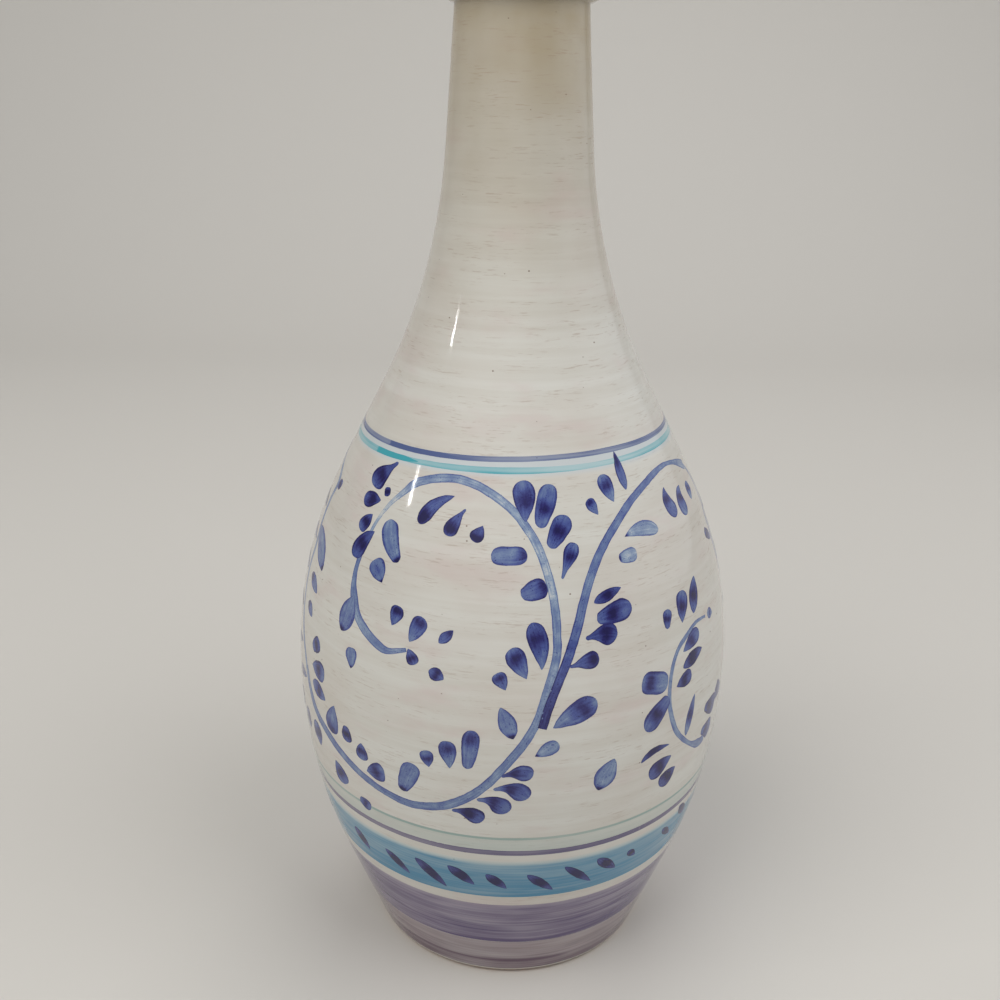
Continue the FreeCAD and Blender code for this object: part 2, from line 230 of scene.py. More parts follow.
def lip_arc(gap, count):
    """The lip's round at a gap from the clay, from inside the mouth over the crown to the neck."""
    lean = math.atan2(THROAT_RADIUS - NECK_RADIUS, NECK_LENGTH)
    inset = WALL - LIP_ROUND
    climb = math.sqrt(LIP_ROUND ** 2 - inset ** 2)
    inward = Vector((-math.cos(lean), -math.sin(lean)))
    neck_end = Vector((NECK_RADIUS, NECK_HEIGHT))
    centre = neck_end + turned(inward, -math.pi / 2) * climb + inward * inset
    first = math.pi + lean
    last = lean - math.acos((inset + gap) / (LIP_ROUND + gap))
    arc = []
    for k in range(count + 1):
        angle = first + (last - first) * k / count
        outward = Vector((math.cos(angle), math.sin(angle)))
        arc.append((centre + outward * (LIP_ROUND + gap), outward))
    return arc


def inside_face(gap, step, floor_height):
    """The inner wall and floor at a gap inward from the clay's inner face, axis to neck."""
    wall = [(point - outward * (WALL + gap), -outward) for point, outward in clay_line(step)]
    foot, inward = wall[0]
    flank = -math.atan2(-inward.y, -inward.x)
    bend = FLOOR_ROUND - gap
    height = floor_height + bend
    reach = foot.x + (height - foot.y) * math.tan(flank) - bend / math.cos(flank)
    corner = []
    for k in range(CORNER_STEPS + 1):
        angle = -math.pi / 2 + (math.pi / 2 - flank) * k / CORNER_STEPS
        way = Vector((math.cos(angle), math.sin(angle)))
        corner.append((Vector((reach, height)) + way * bend, -way))
    top = corner[-1][0].y
    floor = [(Vector((reach * k / FLOOR_STEPS, floor_height)), Vector((0, 1)))
             for k in range(FLOOR_STEPS)]
    return floor + corner + [pair for pair in wall if pair[0].y > top + step / 2]


print("Clay outline points at 1 mm:", len(clay_line(1.0)))

# %% [markdown]
# ## The glaze, turned like the pot
# The glaze is a skin over the whole pot: it runs from the foot up the outside, over the lip
# and down inside to the floor. Cutting it in two would leave a seam on the lip, so both coats
# are one lathe piece. A Geometry Nodes tree wraps a flat grid round the axis: each row of the
# grid takes its radius and height from one point of the section, each column takes an angle.
# The same tree adds the faint rings that the potter's fingers leave, fading them out at the
# foot and the lip, where the pot is trimmed.

# %% Glaze section
OUTSIDE_STEP, INSIDE_STEP, BACK_STEP = 1.15, 9.0, 6.0
LIP_STEPS = 18
RING_FADE = 14.0
FIRST_RISE = 1.0


def coat_line(gap, step):
    """The outer line at a gap from the clay, from the glaze's start to just below the lip."""
    line = clay_line(step)
    outward = line[0][1]
    radius = FOOT_RADIUS - GLAZE_START * outward.y / outward.x + gap / outward.x
    start = (Vector((radius, GLAZE_START)), outward)
    return [start] + [(p + n * gap, n) for p, n in line if p.y > GLAZE_START + FIRST_RISE][:-1]


def glaze_section():
    """The closed section of the glaze: inner face, lip, outer face, then back along the clay."""
    face = inside_face(COAT, INSIDE_STEP, BASE_THICKNESS + COAT)[:-1] + lip_arc(COAT, LIP_STEPS)
    rows = [(point, outward, 0.0) for point, outward in face]
    for point, outward in reversed(coat_line(COAT, OUTSIDE_STEP)):
        low = min(1.0, max(0.0, (point.y - GLAZE_START) / RING_FADE))
        high = min(1.0, max(0.0, (NECK_HEIGHT - point.y) / RING_FADE))
        rows.append((point, outward, low * high))
    back = coat_line(0.0, BACK_STEP) + lip_arc(0.0, LIP_STEPS // 2)[::-1]
    back += inside_face(0.0, INSIDE_STEP, BASE_THICKNESS)[:-1][::-1]
    return rows + [(point, outward, 0.0) for point, outward in back]


section = glaze_section()
print("Rows of the glaze's section:", len(section))

# %% Lathe tree
SEGMENTS = 200
WELD_DISTANCE = 0.001 * MM
RINGS_AROUND, SWAY_AROUND = (0.7, 0.7, 0.0), (0.6, 0.6, 0.12)


def lathe_tree():
    """Wrap a grid round the axis, one row to each point of the section, with throwing rings."""
    tree, given, made = new_group(
        "turned_on_the_wheel", "GeometryNodeTree",
        {"Section": "Geometry", "Segments": "Int", "Ring spacing": "Float", "Ring depth": "Float",
         "Sway": "Float", "Seed": "Float", "Finish": "Material"},
        {"Pot": "Geometry"})
    put = partial(add, tree)
    line, segments = given.outputs["Section"], given.outputs["Segments"]
    rows = put("GeometryNodeAttributeDomainSize", [line], component="MESH")
    columns = put("ShaderNodeMath", [segments, 1.0], operation="ADD")
    grid = put("GeometryNodeMeshGrid", {"Vertices X": rows, "Vertices Y": columns})
    index = put("GeometryNodeInputIndex")
    share = put("ShaderNodeMath", [index, columns], operation="DIVIDE")
    row = put("ShaderNodeMath", [share], operation="FLOOR")
    column = put("ShaderNodeMath", [index, columns], operation="MODULO")
    part = put("ShaderNodeMath", [column, segments], operation="DIVIDE")
    angle = put("ShaderNodeMath", [part, math.tau], operation="MULTIPLY")
    # Each vertex of the grid reads the section's point that has the number of its row.
    fields = [(put("GeometryNodeInputPosition"), "FLOAT_VECTOR")]
    for name, data_type in (("outward", "FLOAT_VECTOR"), ("thrown", "FLOAT")):
        named = put("GeometryNodeInputNamedAttribute", [name], data_type=data_type)
        fields.append((named, data_type))
    place, outward, thrown = [
        put("GeometryNodeSampleIndex", {"Geometry": line, "Value": field, "Index": row},
            data_type=data_type)
        for field, data_type in fields]
    # Noise on a cylinder: it repeats without a seam where the grid's two sides meet.
    height = put("ShaderNodeSeparateXYZ", [place]).outputs["Z"]
    around = put("ShaderNodeVectorRotate", [(1.0, 0.0, 0.0), (0.0, 0.0, 0.0), angle],
                 rotation_type="Z_AXIS")
    climb = put("ShaderNodeMath", [height, given.outputs["Ring spacing"]], operation="DIVIDE")
    lift = put("ShaderNodeCombineXYZ", {"Z": climb})
    spot = put("ShaderNodeVectorMath", [around, RINGS_AROUND, lift], operation="MULTIPLY_ADD")
    slow = put("ShaderNodeVectorMath", [spot, SWAY_AROUND], operation="MULTIPLY")
    depth = 0.0
    for where, detail, size in ((spot, 2.0, "Ring depth"), (slow, 0.0, "Sway")):
        swing = put("ShaderNodeTexNoise", {"Vector": where, "W": given.outputs["Seed"],
                                           "Scale": 1.0, "Detail": detail}, noise_dimensions="4D")
        swing = put("ShaderNodeMapRange", [swing, 0.0, 1.0, -1.0, 1.0])
        depth = put("ShaderNodeMath", [swing, given.outputs[size], depth],
                    operation="MULTIPLY_ADD")
    depth = put("ShaderNodeMath", [depth, thrown], operation="MULTIPLY")
    push = put("ShaderNodeVectorMath", [outward, depth], operation="SCALE")
    moved = put("ShaderNodeVectorMath", [place, push], operation="ADD")
    wrapped = put("ShaderNodeVectorRotate", [moved, (0.0, 0.0, 0.0), angle],
                  rotation_type="Z_AXIS")
    pot = put("GeometryNodeSetPosition", {"Geometry": grid, "Position": wrapped})
    pot = put("GeometryNodeMergeByDistance", {"Geometry": pot, "Distance": WELD_DISTANCE})
    pot = put("GeometryNodeSetShadeSmooth", {"Geometry": pot})
    pot = put("GeometryNodeRealizeInstances", [pot])
    pot = put("GeometryNodeSetMaterial", {"Geometry": pot, "Material": given.outputs["Finish"]})
    tree.links.new(output(pot), made.inputs["Pot"])
    return tree


# %% [markdown]
# ## The colours
# Tin glaze is an opaque, slightly warm white that a brush has dragged round the pot: fine
# level streaks show in it, pinkish where it is thin, with pinholes where gas left the clay.
# On the neck it is thin and yellowed, and it darkens toward the top, partly as painted shade.
# All the painted marks lie in this glaze, so one node group gives its colour and its relief,
# and the painted finishes use the same group below their pigment. Every pattern is laid out in
# millimetres round the pot.

# %% Glaze pattern groups
GLAZE_PATCHES = {
    # name: mm around, mm up, roughness, start, end, least, most
    "cloud": (46.0, 30.0, 0.5, 0.35, 0.65, 0.0, 1.0),
    "flush": (30.0, 11.0, 0.6, 0.5, 0.78, 0.0, 0.75),
    "drift": (26.0, 26.0, 0.5, 0.25, 0.75, 0.75, 1.15),
    "streak": (90.0, 3.2, 0.6, 0.3, 0.7, 0.0, 0.22),
    "dash": (5.5, 0.5, 0.6, 0.56, 0.68, 0.0, 0.4),
    "dry": (30.0, 5.0, 0.5, 0.4, 0.62, 0.0, 1.0),
}
# Where the neck turns thin, yellowed and darker toward the top, partly as painted shade.
NECK_THIN_AND_SHADE_START, NECK_THIN_AND_SHADE_END, NECK_THIN_AND_SHADE_POWER = 222 * MM, 345 * MM, 1.25
COOL_HEIGHT, COOL_LEAN = 200 * MM, -1 / 60
COOL_CORE, COOL_EDGE, COOL_SHARE = 1.5 * MM, 3.6 * MM, 0.8
SPECK_AROUND, SPECK_UP = 3.6, 2.8
SPECK_RARITY, SPECK_RADIUS, SPECK_EDGE, SPECK_STRENGTH = 0.66, 0.11, 0.03, 0.75
STREAK_RELIEF, FINE_RELIEF = (60.0, 2.4), (9.0, 1.1, 2.0)
SOFT = {"interpolation_type": "SMOOTHSTEP"}


def round_pot_group():
    """Places on the pot, where one unit is so many millimetres around and up."""
    group, given, made = new_group(
        "round_the_pot", "ShaderNodeTree", {"Around": "Float", "Up": "Float"},
        {"Place": "Vector"})
    put = partial(add, group)
    place = put("ShaderNodeTexCoord").outputs["Object"]
    around = put("ShaderNodeMath", [1 / MM, given.outputs["Around"]], operation="DIVIDE")
    up = put("ShaderNodeMath", [1 / MM, given.outputs["Up"]], operation="DIVIDE")
    scale = put("ShaderNodeCombineXYZ", [around, around, up])
    spot = put("ShaderNodeVectorMath", [place, scale], operation="MULTIPLY")
    group.links.new(output(spot), made.inputs["Place"])
    return group


round_pot = round_pot_group()


def noise_round_pot(tree, around, up, detail=3.0, roughness=0.5):
    """Noise stretched round the pot, one unit in so many millimetres around and up."""
    place = add(tree, "ShaderNodeGroup", {"Around": around, "Up": up}, node_tree=round_pot)
    return add(tree, "ShaderNodeTexNoise", {
        "Vector": place, "Scale": 1.0, "Detail": detail, "Roughness": roughness})


def tin_glaze_group():
    """The off-white glaze's colour and relief."""
    group, given, made = new_group("tin_glaze", "ShaderNodeTree", {},
                                   {"Colour": "Color", "Relief": "Float"})
    put = partial(add, group)
    place = put("ShaderNodeSeparateXYZ", [put("ShaderNodeTexCoord").outputs["Object"]])
    height = place.outputs["Z"]
    patch = {}
    for name, (around, up, roughness, *edges) in GLAZE_PATCHES.items():
        noise = noise_round_pot(group, around, up, 3.0, roughness)
        patch[name] = put("ShaderNodeMapRange", [noise, *edges], **SOFT)
    # The neck's glaze is thin and yellowed, more so to the top; the darkening toward the top is
    # partly painted shade.
    thin = put("ShaderNodeMapRange", [height, NECK_THIN_AND_SHADE_START, NECK_THIN_AND_SHADE_END, 0.0, 1.0])
    thin = put("ShaderNodeMath", [thin, NECK_THIN_AND_SHADE_POWER], operation="POWER")
    thin = put("ShaderNodeMath", [thin, patch["drift"]], operation="MULTIPLY", use_clamp=True)
    # In dry patches the level brush streaks break into short dashes.
    dry = put("ShaderNodeMath", [patch["dash"], patch["dry"]], operation="MULTIPLY")
    # Round the two shoulder lines, which lean up to the right, the glaze is cool and bluish.
    level = put("ShaderNodeMath", [place.outputs["X"], COOL_LEAN, height],
                operation="MULTIPLY_ADD")
    gap = put("ShaderNodeMath", [level, COOL_HEIGHT], operation="SUBTRACT")
    gap = put("ShaderNodeMath", [gap], operation="ABSOLUTE")
    cool = put("ShaderNodeMapRange", [gap, COOL_CORE, COOL_EDGE, COOL_SHARE, 0.0], **SOFT)
    # Pinholes and iron specks: some of the cells that cover the pot hold one.
    cell = put("ShaderNodeGroup", {"Around": SPECK_AROUND, "Up": SPECK_UP}, node_tree=round_pot)
    cells = put("ShaderNodeTexVoronoi", {"Vector": cell, "Scale": 1.0})
    chosen = put("ShaderNodeSeparateColor", [cells.outputs["Color"]])
    size = put("ShaderNodeMapRange", [chosen, SPECK_RARITY, 1.0, 0.0, SPECK_RADIUS], **SOFT)
    speck = put("ShaderNodeMath", [size, cells.outputs["Distance"]], operation="SUBTRACT")
    speck = put("ShaderNodeMapRange", [speck, 0.0, SPECK_EDGE, 0.0, SPECK_STRENGTH], **SOFT)
    # Cool and thick, warm clouds, pink flush, yellow neck with painted shade toward its top,
    # streaks, dry dashes, halo, specks.
    shade = colour("D1D0CA")
    for share, tint in ((patch["cloud"], "CDC9C2"), (patch["flush"], "CBBFBB"),
                        (thin, "A6987D"), (patch["streak"], "AFA596"), (dry, "9C8474"),
                        (cool, "C1C9CE"), (speck, "6E5A4C")):
        shade = put("ShaderNodeMix", {"Factor": share, "A": shade, "B": colour(tint)},
                    data_type="RGBA")
    group.links.new(output(shade), made.inputs["Colour"])
    # Relief: brush streaks a few hundredths of a millimetre deep, and the pinholes.
    relief = put("ShaderNodeMath", [noise_round_pot(group, *STREAK_RELIEF),
                                    noise_round_pot(group, *FINE_RELIEF)], operation="ADD")
    relief = put("ShaderNodeMath", [relief, speck], operation="SUBTRACT")
    group.links.new(output(relief), made.inputs["Relief"])
    return group


tin_glaze = tin_glaze_group()
print("Nodes in the glaze's pattern:", len(tin_glaze.nodes))

# %% Finishes in glaze
GLAZE_IOR = 1.5
GLAZE_ROUGHNESS = 0.07
RELIEF_DEPTH = 0.018 * MM


def new_finish(name):
    """An empty material with its output node."""
    finish = bpy.data.materials.new(name)
    finish.use_nodes = True
    finish.node_tree.nodes.clear()
    return finish, finish.node_tree, finish.node_tree.nodes.new("ShaderNodeOutputMaterial")


def stops(ramp, pairs):
    """Set a colour ramp's stops from pairs of a position and a colour or a grey value."""
    while len(ramp.color_ramp.elements) < len(pairs):
        ramp.color_ramp.elements.new(0.5)
    for element, (position, shade) in zip(ramp.color_ramp.elements, pairs):
        element.position = position
        element.color = colour(shade) if isinstance(shade, str) else (shade, shade, shade, 1.0)


def glazed(tree, end, pigment=None, cover=None):
    """Glossy tin glaze, with pigment in it or bare. It is fired glass, and has its index."""
    glaze = add(tree, "ShaderNodeGroup", node_tree=tin_glaze)
    shade = glaze.outputs["Colour"]
    if pigment:
        shade = add(tree, "ShaderNodeMix", {"Factor": cover, "A": shade, "B": pigment},
                    data_type="RGBA")
    relief = add(tree, "ShaderNodeBump", {"Height": glaze.outputs["Relief"],
                                          "Distance": RELIEF_DEPTH, "Strength": 1.0})
    surface = add(tree, "ShaderNodeBsdfPrincipled", {
        "Base Color": shade, "Roughness": GLAZE_ROUGHNESS, "IOR": GLAZE_IOR, "Normal": relief})
    tree.links.new(output(surface), end.inputs["Surface"])


# To the eye: an uneven warm white under a hard, wet shine that the brush streaks ripple.
glaze_material, glaze_nodes, glaze_end = new_finish("glossy_tin_glaze")
glazed(glaze_nodes, glaze_end)

# %% Turn the glaze skin
glaze_skin = new_piece("glaze_skin", [(p.x * MM, 0.0, p.y * MM) for p, n, t in section],
                       [(k, k + 1) for k in range(len(section) - 1)])
mark(glaze_skin, "outward", [(n.x, 0.0, n.y) for p, n, t in section], "FLOAT_VECTOR")
mark(glaze_skin, "thrown", [t for p, n, t in section])
grow(glaze_skin, lathe_tree(), **{
    "Segments": SEGMENTS, "Ring spacing": 9 * MM, "Ring depth": 0.10 * MM, "Sway": 0.35 * MM,
    "Seed": 3.0, "Finish": glaze_material})
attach(glaze_skin, "root")
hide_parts("outer_glaze", "inner_glaze")

# %% [markdown]
# ## The bare clay
# Under the glaze the pot is pale, matt earthenware. It shows only at the foot ring, which
# the potter wipes clean so that the pot doesn't stick to the kiln shelf, and in the recess
# under the base, where fine turning lines run round it.

# %% Clay finish
CLAY_ROUGHNESS, CLAY_IOR, CLAY_RELIEF = 0.86, 1.45, 0.08 * MM
TURNING_SPACING, GRIT_SIZE = 1.2 * MM, 0.8 * MM


def clay_finish():
    """Bare fired earthenware. To the eye: dry, matt buff with darker grit and turning lines."""
    finish, tree, end = new_finish("bare_fired_earthenware")
    put = partial(add, tree)
    place = put("ShaderNodeTexCoord").outputs["Object"]
    flat = put("ShaderNodeVectorMath", [place, (1.0, 1.0, 0.0)], operation="MULTIPLY")
    radius = put("ShaderNodeVectorMath", [flat], operation="LENGTH")
    lines = put("ShaderNodeCombineXYZ", {"X": radius})
    lines = put("ShaderNodeTexNoise", {"Vector": lines, "Scale": 1 / TURNING_SPACING,
                                       "Detail": 2.0})
    grit = put("ShaderNodeTexNoise", {"Vector": place, "Scale": 1 / GRIT_SIZE, "Detail": 4.0})
    body = put("ShaderNodeValToRGB", [grit])
    stops(body, ((0.3, "9F7358"), (0.62, "C49A7B")))
    height = put("ShaderNodeMath", [lines, grit], operation="ADD")
    relief = put("ShaderNodeBump", {"Height": height, "Distance": CLAY_RELIEF})
    surface = put("ShaderNodeBsdfPrincipled", {
        "Base Color": body, "Roughness": CLAY_ROUGHNESS, "IOR": CLAY_IOR, "Normal": relief})
    tree.links.new(output(surface), end.inputs["Surface"])
    return finish


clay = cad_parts["clay_body"]
clay.data.materials.clear()
clay.data.materials.append(clay_finish())
print("Clay finish on:", clay.name)

# %% [markdown]
# ## Brush marks as films on the glaze
# A brush mark is pigment that has sunk into the glaze, with no thickness to speak of. Painting
# it into the skin would need millions of faces, so each mark is a film a few hundredths of a
# millimetre thick. One Geometry Nodes tree sweeps a flat lens along each mark's path, lets
# its edge waver as a brush does, and lays every point on the nearest place of the glaze. It
# keeps how far along and across the mark each point is, for the finish to draw hairs, rims and
# pools with, and gives the film the glaze's own normals, so that both shine as one surface.

# %% Brush tree
FLATNESS = 0.001
RIM_START = 0.995


def brush_tree():
    """Sweep each path to a closed film that follows the glaze."""
    tree, given, made = new_group(
        "brush_mark_on_glaze", "GeometryNodeTree",
        {"Paths": "Geometry", "Glaze": "Object", "Points round": "Int", "Lift": "Float",
         "Sink": "Float", "Waver": "Float", "Waver size": "Float", "Seed": "Float",
         "Finish": "Material"},
        {"Films": "Geometry"})
    put = partial(add, tree)
    glaze = put("GeometryNodeObjectInfo", {"Object": given.outputs["Glaze"]}).outputs["Geometry"]
    here = put("GeometryNodeInputPosition")
    facing = put("GeometryNodeFieldOnDomain", [put("GeometryNodeInputNormal").outputs["Normal"]],
                 data_type="FLOAT_VECTOR", domain="POINT")
    skin_way = put("GeometryNodeSampleNearestSurface",
                   {"Mesh": glaze, "Value": facing, "Sample Position": here},
                   data_type="FLOAT_VECTOR")
    skin_way = put("ShaderNodeVectorMath", [skin_way], operation="NORMALIZE")
    # The path and the flat lens that is swept along it each remember their own measure.
    path = put("GeometryNodeMeshToCurve", {"Mesh": given.outputs["Paths"]})
    lens = put("GeometryNodeCurvePrimitiveCircle", {"Resolution": given.outputs["Points round"],
                                                    "Radius": 1.0})
    length = put("GeometryNodeSplineParameter").outputs["Length"]
    side = put("ShaderNodeSeparateXYZ", [here])
    shapes = {"path": path, "lens": lens}
    for shape, name, value in (("path", "along", length), ("lens", "across", side.outputs["Y"]),
                               ("lens", "upper", side.outputs["X"])):
        shapes[shape] = put("GeometryNodeStoreNamedAttribute",
                            {"Geometry": shapes[shape], "Name": name, "Value": value},
                            data_type="FLOAT", domain="POINT")
    path = put("GeometryNodeSetCurveNormal", {"Curve": shapes["path"], "Normal": skin_way},
               mode="FREE")
    lens = put("GeometryNodeTransform", {"Geometry": shapes["lens"],
                                         "Scale": (FLATNESS, 1.0, 1.0)})
    read = {name: put("GeometryNodeInputNamedAttribute", [name], data_type="FLOAT")
            for name in ("half_width", "across", "upper", "stack")}
    film = put("GeometryNodeCurveToMesh", {"Curve": path, "Profile Curve": lens,
                                           "Scale": read["half_width"], "Fill Caps": True})
    # The film's edge wavers.
    grain = put("ShaderNodeMath", [1.0, given.outputs["Waver size"]], operation="DIVIDE")
    shake = put("ShaderNodeTexNoise", {"Vector": here, "W": given.outputs["Seed"],
                                       "Scale": grain, "Detail": 2.0},
                noise_dimensions="4D").outputs["Color"]
    shake = put("ShaderNodeVectorMath", [shake, (0.5, 0.5, 0.5)], operation="SUBTRACT")
    shake = put("ShaderNodeVectorMath", [shake, given.outputs["Waver"]], operation="SCALE")
    film = put("GeometryNodeSetPosition", {"Geometry": film, "Offset": shake})
    # Its upper face lies just over the glaze, its rim and its under face just below.
    nearest = put("GeometryNodeProximity", [glaze], target_element="FACES").outputs["Position"]
    rim = put("ShaderNodeMath", [read["across"]], operation="ABSOLUTE")
    rim = put("ShaderNodeMath", [rim, RIM_START], operation="GREATER_THAN")
    full = put("ShaderNodeMath", [given.outputs["Lift"], read["stack"]], operation="ADD")
    drop = put("ShaderNodeMath", [full, given.outputs["Sink"]], operation="ADD")
    fall = put("ShaderNodeMath", [rim, drop], operation="MULTIPLY")
    top = put("ShaderNodeMath", [full, fall], operation="SUBTRACT")
    under = put("ShaderNodeMath", [given.outputs["Sink"], -2.0], operation="MULTIPLY")
    is_top = put("ShaderNodeMath", [read["upper"], -FLATNESS], operation="GREATER_THAN")
    level = put("GeometryNodeSwitch", {"Switch": is_top, "False": under, "True": top},
                input_type="FLOAT")
    raised = put("ShaderNodeVectorMath", [skin_way, level], operation="SCALE")
    laid = put("ShaderNodeVectorMath", [nearest, raised], operation="ADD")
    film = put("GeometryNodeSetPosition", {"Geometry": film, "Position": laid})
    film = put("GeometryNodeSetShadeSmooth", {"Geometry": film})
    turn = put("GeometryNodeSwitch", {"Switch": is_top, "False": -1.0, "True": 1.0},
               input_type="FLOAT")
    shine = put("ShaderNodeVectorMath", [skin_way, turn], operation="SCALE")
    film = put("GeometryNodeSetMeshNormal", {"Mesh": film, "Custom Normal": shine},
               mode="FREE", domain="POINT")
    film = put("GeometryNodeRealizeInstances", [film])
    film = put("GeometryNodeSetMaterial", {"Geometry": film,
                                           "Material": given.outputs["Finish"]})
    tree.links.new(output(film), made.inputs["Films"])
    return tree


brush = brush_tree()
print("Brush tree nodes:", len(brush.nodes))

# %% [markdown]
# ## Where a mark lies
# The places of the marks were read off the photograph, in its pixels. A ray from the
# camera through a pixel meets the glaze at the mark's true place. The width works the same
# way: two rays, one at each edge of the stroke, give the stroke's real width, also where the
# belly curves away. A ray that just misses the pot is moved inward until it hits.

# %% From a pixel to the glaze
glaze_tree = BVHTree.FromPolygons([v.co for v in glaze_skin.data.vertices],
                                  [tuple(f.vertices) for f in glaze_skin.data.polygons])
POT_MIDDLE_PIXEL = 512
EDGE_TRIES, EDGE_MOVE = 60, 0.5
SPREAD_BEHIND = 1.2


def on_glaze(x, y):
    """The place on the glaze that shows at a pixel."""
    for _ in range(EDGE_TRIES):
        hit = glaze_tree.ray_cast(CAMERA_PLACE, pixel_ray(x, y))[0]
        if hit:
            return hit
        x += EDGE_MOVE if x < POT_MIDDLE_PIXEL else -EDGE_MOVE
    raise ValueError(f"no glaze near pixel {x}, {y}")


def glaze_at(angle, height):
    """The place on the outer glaze at an angle round the axis and a height."""
    way = Vector((math.cos(angle), math.sin(angle), 0))
    start = way * 2 * BELLY_RADIUS * MM + Vector((0, 0, height))
    return glaze_tree.ray_cast(start, -way)[0]


def outside(point):
    """The place on the outer glaze level with a point near it."""
    return glaze_at(math.atan2(point.y, point.x), point.z)


def behind(point):
    """The place on the far side that answers to a place on the near side, spread a little."""
    angle = (math.atan2(point.y, point.x) + 1.5 * math.pi) % math.tau - math.pi
    return glaze_at(math.pi / 2 + angle * SPREAD_BEHIND, point.z)


class Marks:
    """Paths with their values, gathered until they become one piece of films."""

    VALUES = ("half_width", "pigment", "pool", "wash", "stack", "mark_seed")

    def __init__(self):
        self.points, self.edges = [], []
        self.values = {name: [] for name in self.VALUES}

    def path(self, points, closed=False, **values):
        """Add one path. A value is one number, or a list with one number for each point."""
        first = len(self.points)
        count = len(points)
        self.points += points
        self.edges += [(first + k, first + k + 1) for k in range(count - 1)]
        if closed:
            self.edges.append((first + count - 1, first))
        for name in self.VALUES:
            value = values[name]
            self.values[name] += value if isinstance(value, list) else [value] * count

    def repeat_behind(self):
        """The same marks again on the far side of the pot."""
        count = len(self.points)
        self.points += [behind(point) for point in self.points]
        self.edges += [(a + count, b + count) for a, b in self.edges]
        for name in self.VALUES:
            self.values[name] += self.values[name]

    def films(self, name, slot, finish, **sizes):
        """Turn the paths into one piece of films on the glaze."""
        piece = new_piece(name, self.points, self.edges)
        for value in self.VALUES:
            mark(piece, value, self.values[value])
        grow(piece, brush, Glaze=glaze_skin, Finish=finish, **sizes)
        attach(piece, "root")
        return piece


print("Front of the belly:", [round(c / MM, 1) for c in on_glaze(500, 620)])

# %% [markdown]
# ## The banded lines and washes
# The painter held a loaded brush still while the wheel turned. A band's edges therefore run
# level, but waver by a few tenths of a millimetre as the hand does. The wide washes close on
# themselves. The three thin lines don't: each starts, goes once round and overlaps its own
# start a little, where two coats make it darker.

# %% Band paths
RING_POINTS = 180
RING_WAVER = 0.25
OVERLAP_LIFT = 0.015 * MM
SECOND_COAT = 0.5
START_WIDTH, START_DEGREES, END_WIDTH, END_DEGREES = 0.3, 2, 0.1, 6
FILM = {"Lift": 0.04 * MM, "Sink": 0.02 * MM, "Seed": 1.0}


def ripple(waves, angle, fewest):
    """Slow waves round the pot, the first with the fewest to a turn, between -1 and 1."""
    return sum(size * math.sin(turns * angle + phase)
               for turns, (phase, size) in enumerate(waves, fewest)) / len(waves)


def ring_path(marks, low, high, tilt, start, sweep, swell, draw):
    """One turn of the brush between two heights in millimetres, tilted up to the right."""
    full_turn = sweep == 360.0
    count = round(RING_POINTS * sweep / 360)
    waves = [(draw.uniform(0, math.tau), draw.uniform(0.5, 1.0)) for _ in range(5)]
    points, widths, stacks, loads = [], [], [], []
    for k in range(count + (not full_turn)):
        done = sweep * k / count
        angle = math.radians(start + done)
        lean = tilt * math.cos(angle) + RING_WAVER * ripple(waves[:3], angle, 2)
        breath = swell * ripple(waves[3:], angle, 5)
        bottom = glaze_at(angle, (low + lean - breath) * MM)
        top = glaze_at(angle, (high + lean + breath) * MM)
        points.append(glaze_at(angle, ((low + high) / 2 + lean) * MM))
        # A thin line starts a little narrow, and narrows again over its last degrees.
        taper = 1.0 if full_turn else min(1.0, START_WIDTH + done / START_DEGREES,
                                          END_WIDTH + (sweep - done) / END_DEGREES)
        widths.append((top - bottom).length / 2 * taper)
        stacks.append(0.0 if full_turn else OVERLAP_LIFT * k / count)
        loads.append(1.0 + SECOND_COAT * (done > 360.0))
    marks.path(points, closed=full_turn, half_width=widths, pigment=loads, pool=0.0, wash=0.0,
               stack=stacks, mark_seed=draw.uniform(0, 9))

# %% Band finish
# Noise: mm around, mm up, detail, roughness.
BAND_STREAKS, BAND_CLOUDS = (70.0, 0.9, 4.0, 0.65), (30.0, 5.0, 2.0)
STREAKS_LEAST, STREAKS_MOST = 0.6, 1.4


def band_finish(name, thin, thick, cover_across, streak):
    """A banded wash. To the eye: see-through colour in level brush streaks, under the shine."""
    finish, tree, end = new_finish(name)
    put = partial(add, tree)
    across = put("ShaderNodeAttribute", attribute_name="across").outputs["Fac"]
    height = put("ShaderNodeMapRange", [across, 1.0, -1.0, 0.0, 1.0])
    load = put("ShaderNodeValToRGB", [height])
    stops(load, cover_across)
    streaks = put("ShaderNodeMath", [noise_round_pot(tree, *BAND_STREAKS),
                                     noise_round_pot(tree, *BAND_CLOUDS)], operation="ADD")
    streaks = put("ShaderNodeMapRange", [streaks, STREAKS_LEAST, STREAKS_MOST,
                                         1.0 - streak, 1.0 + streak])
    pigment = put("ShaderNodeAttribute", attribute_name="pigment").outputs["Fac"]
    cover = put("ShaderNodeMath", [load, streaks], operation="MULTIPLY")
    cover = put("ShaderNodeMath", [cover, pigment], operation="MULTIPLY", use_clamp=True)
    shade = put("ShaderNodeValToRGB", [cover])
    stops(shade, ((0.35, thin), (0.95, thick)))
    glazed(tree, end, shade, cover)
    return finish


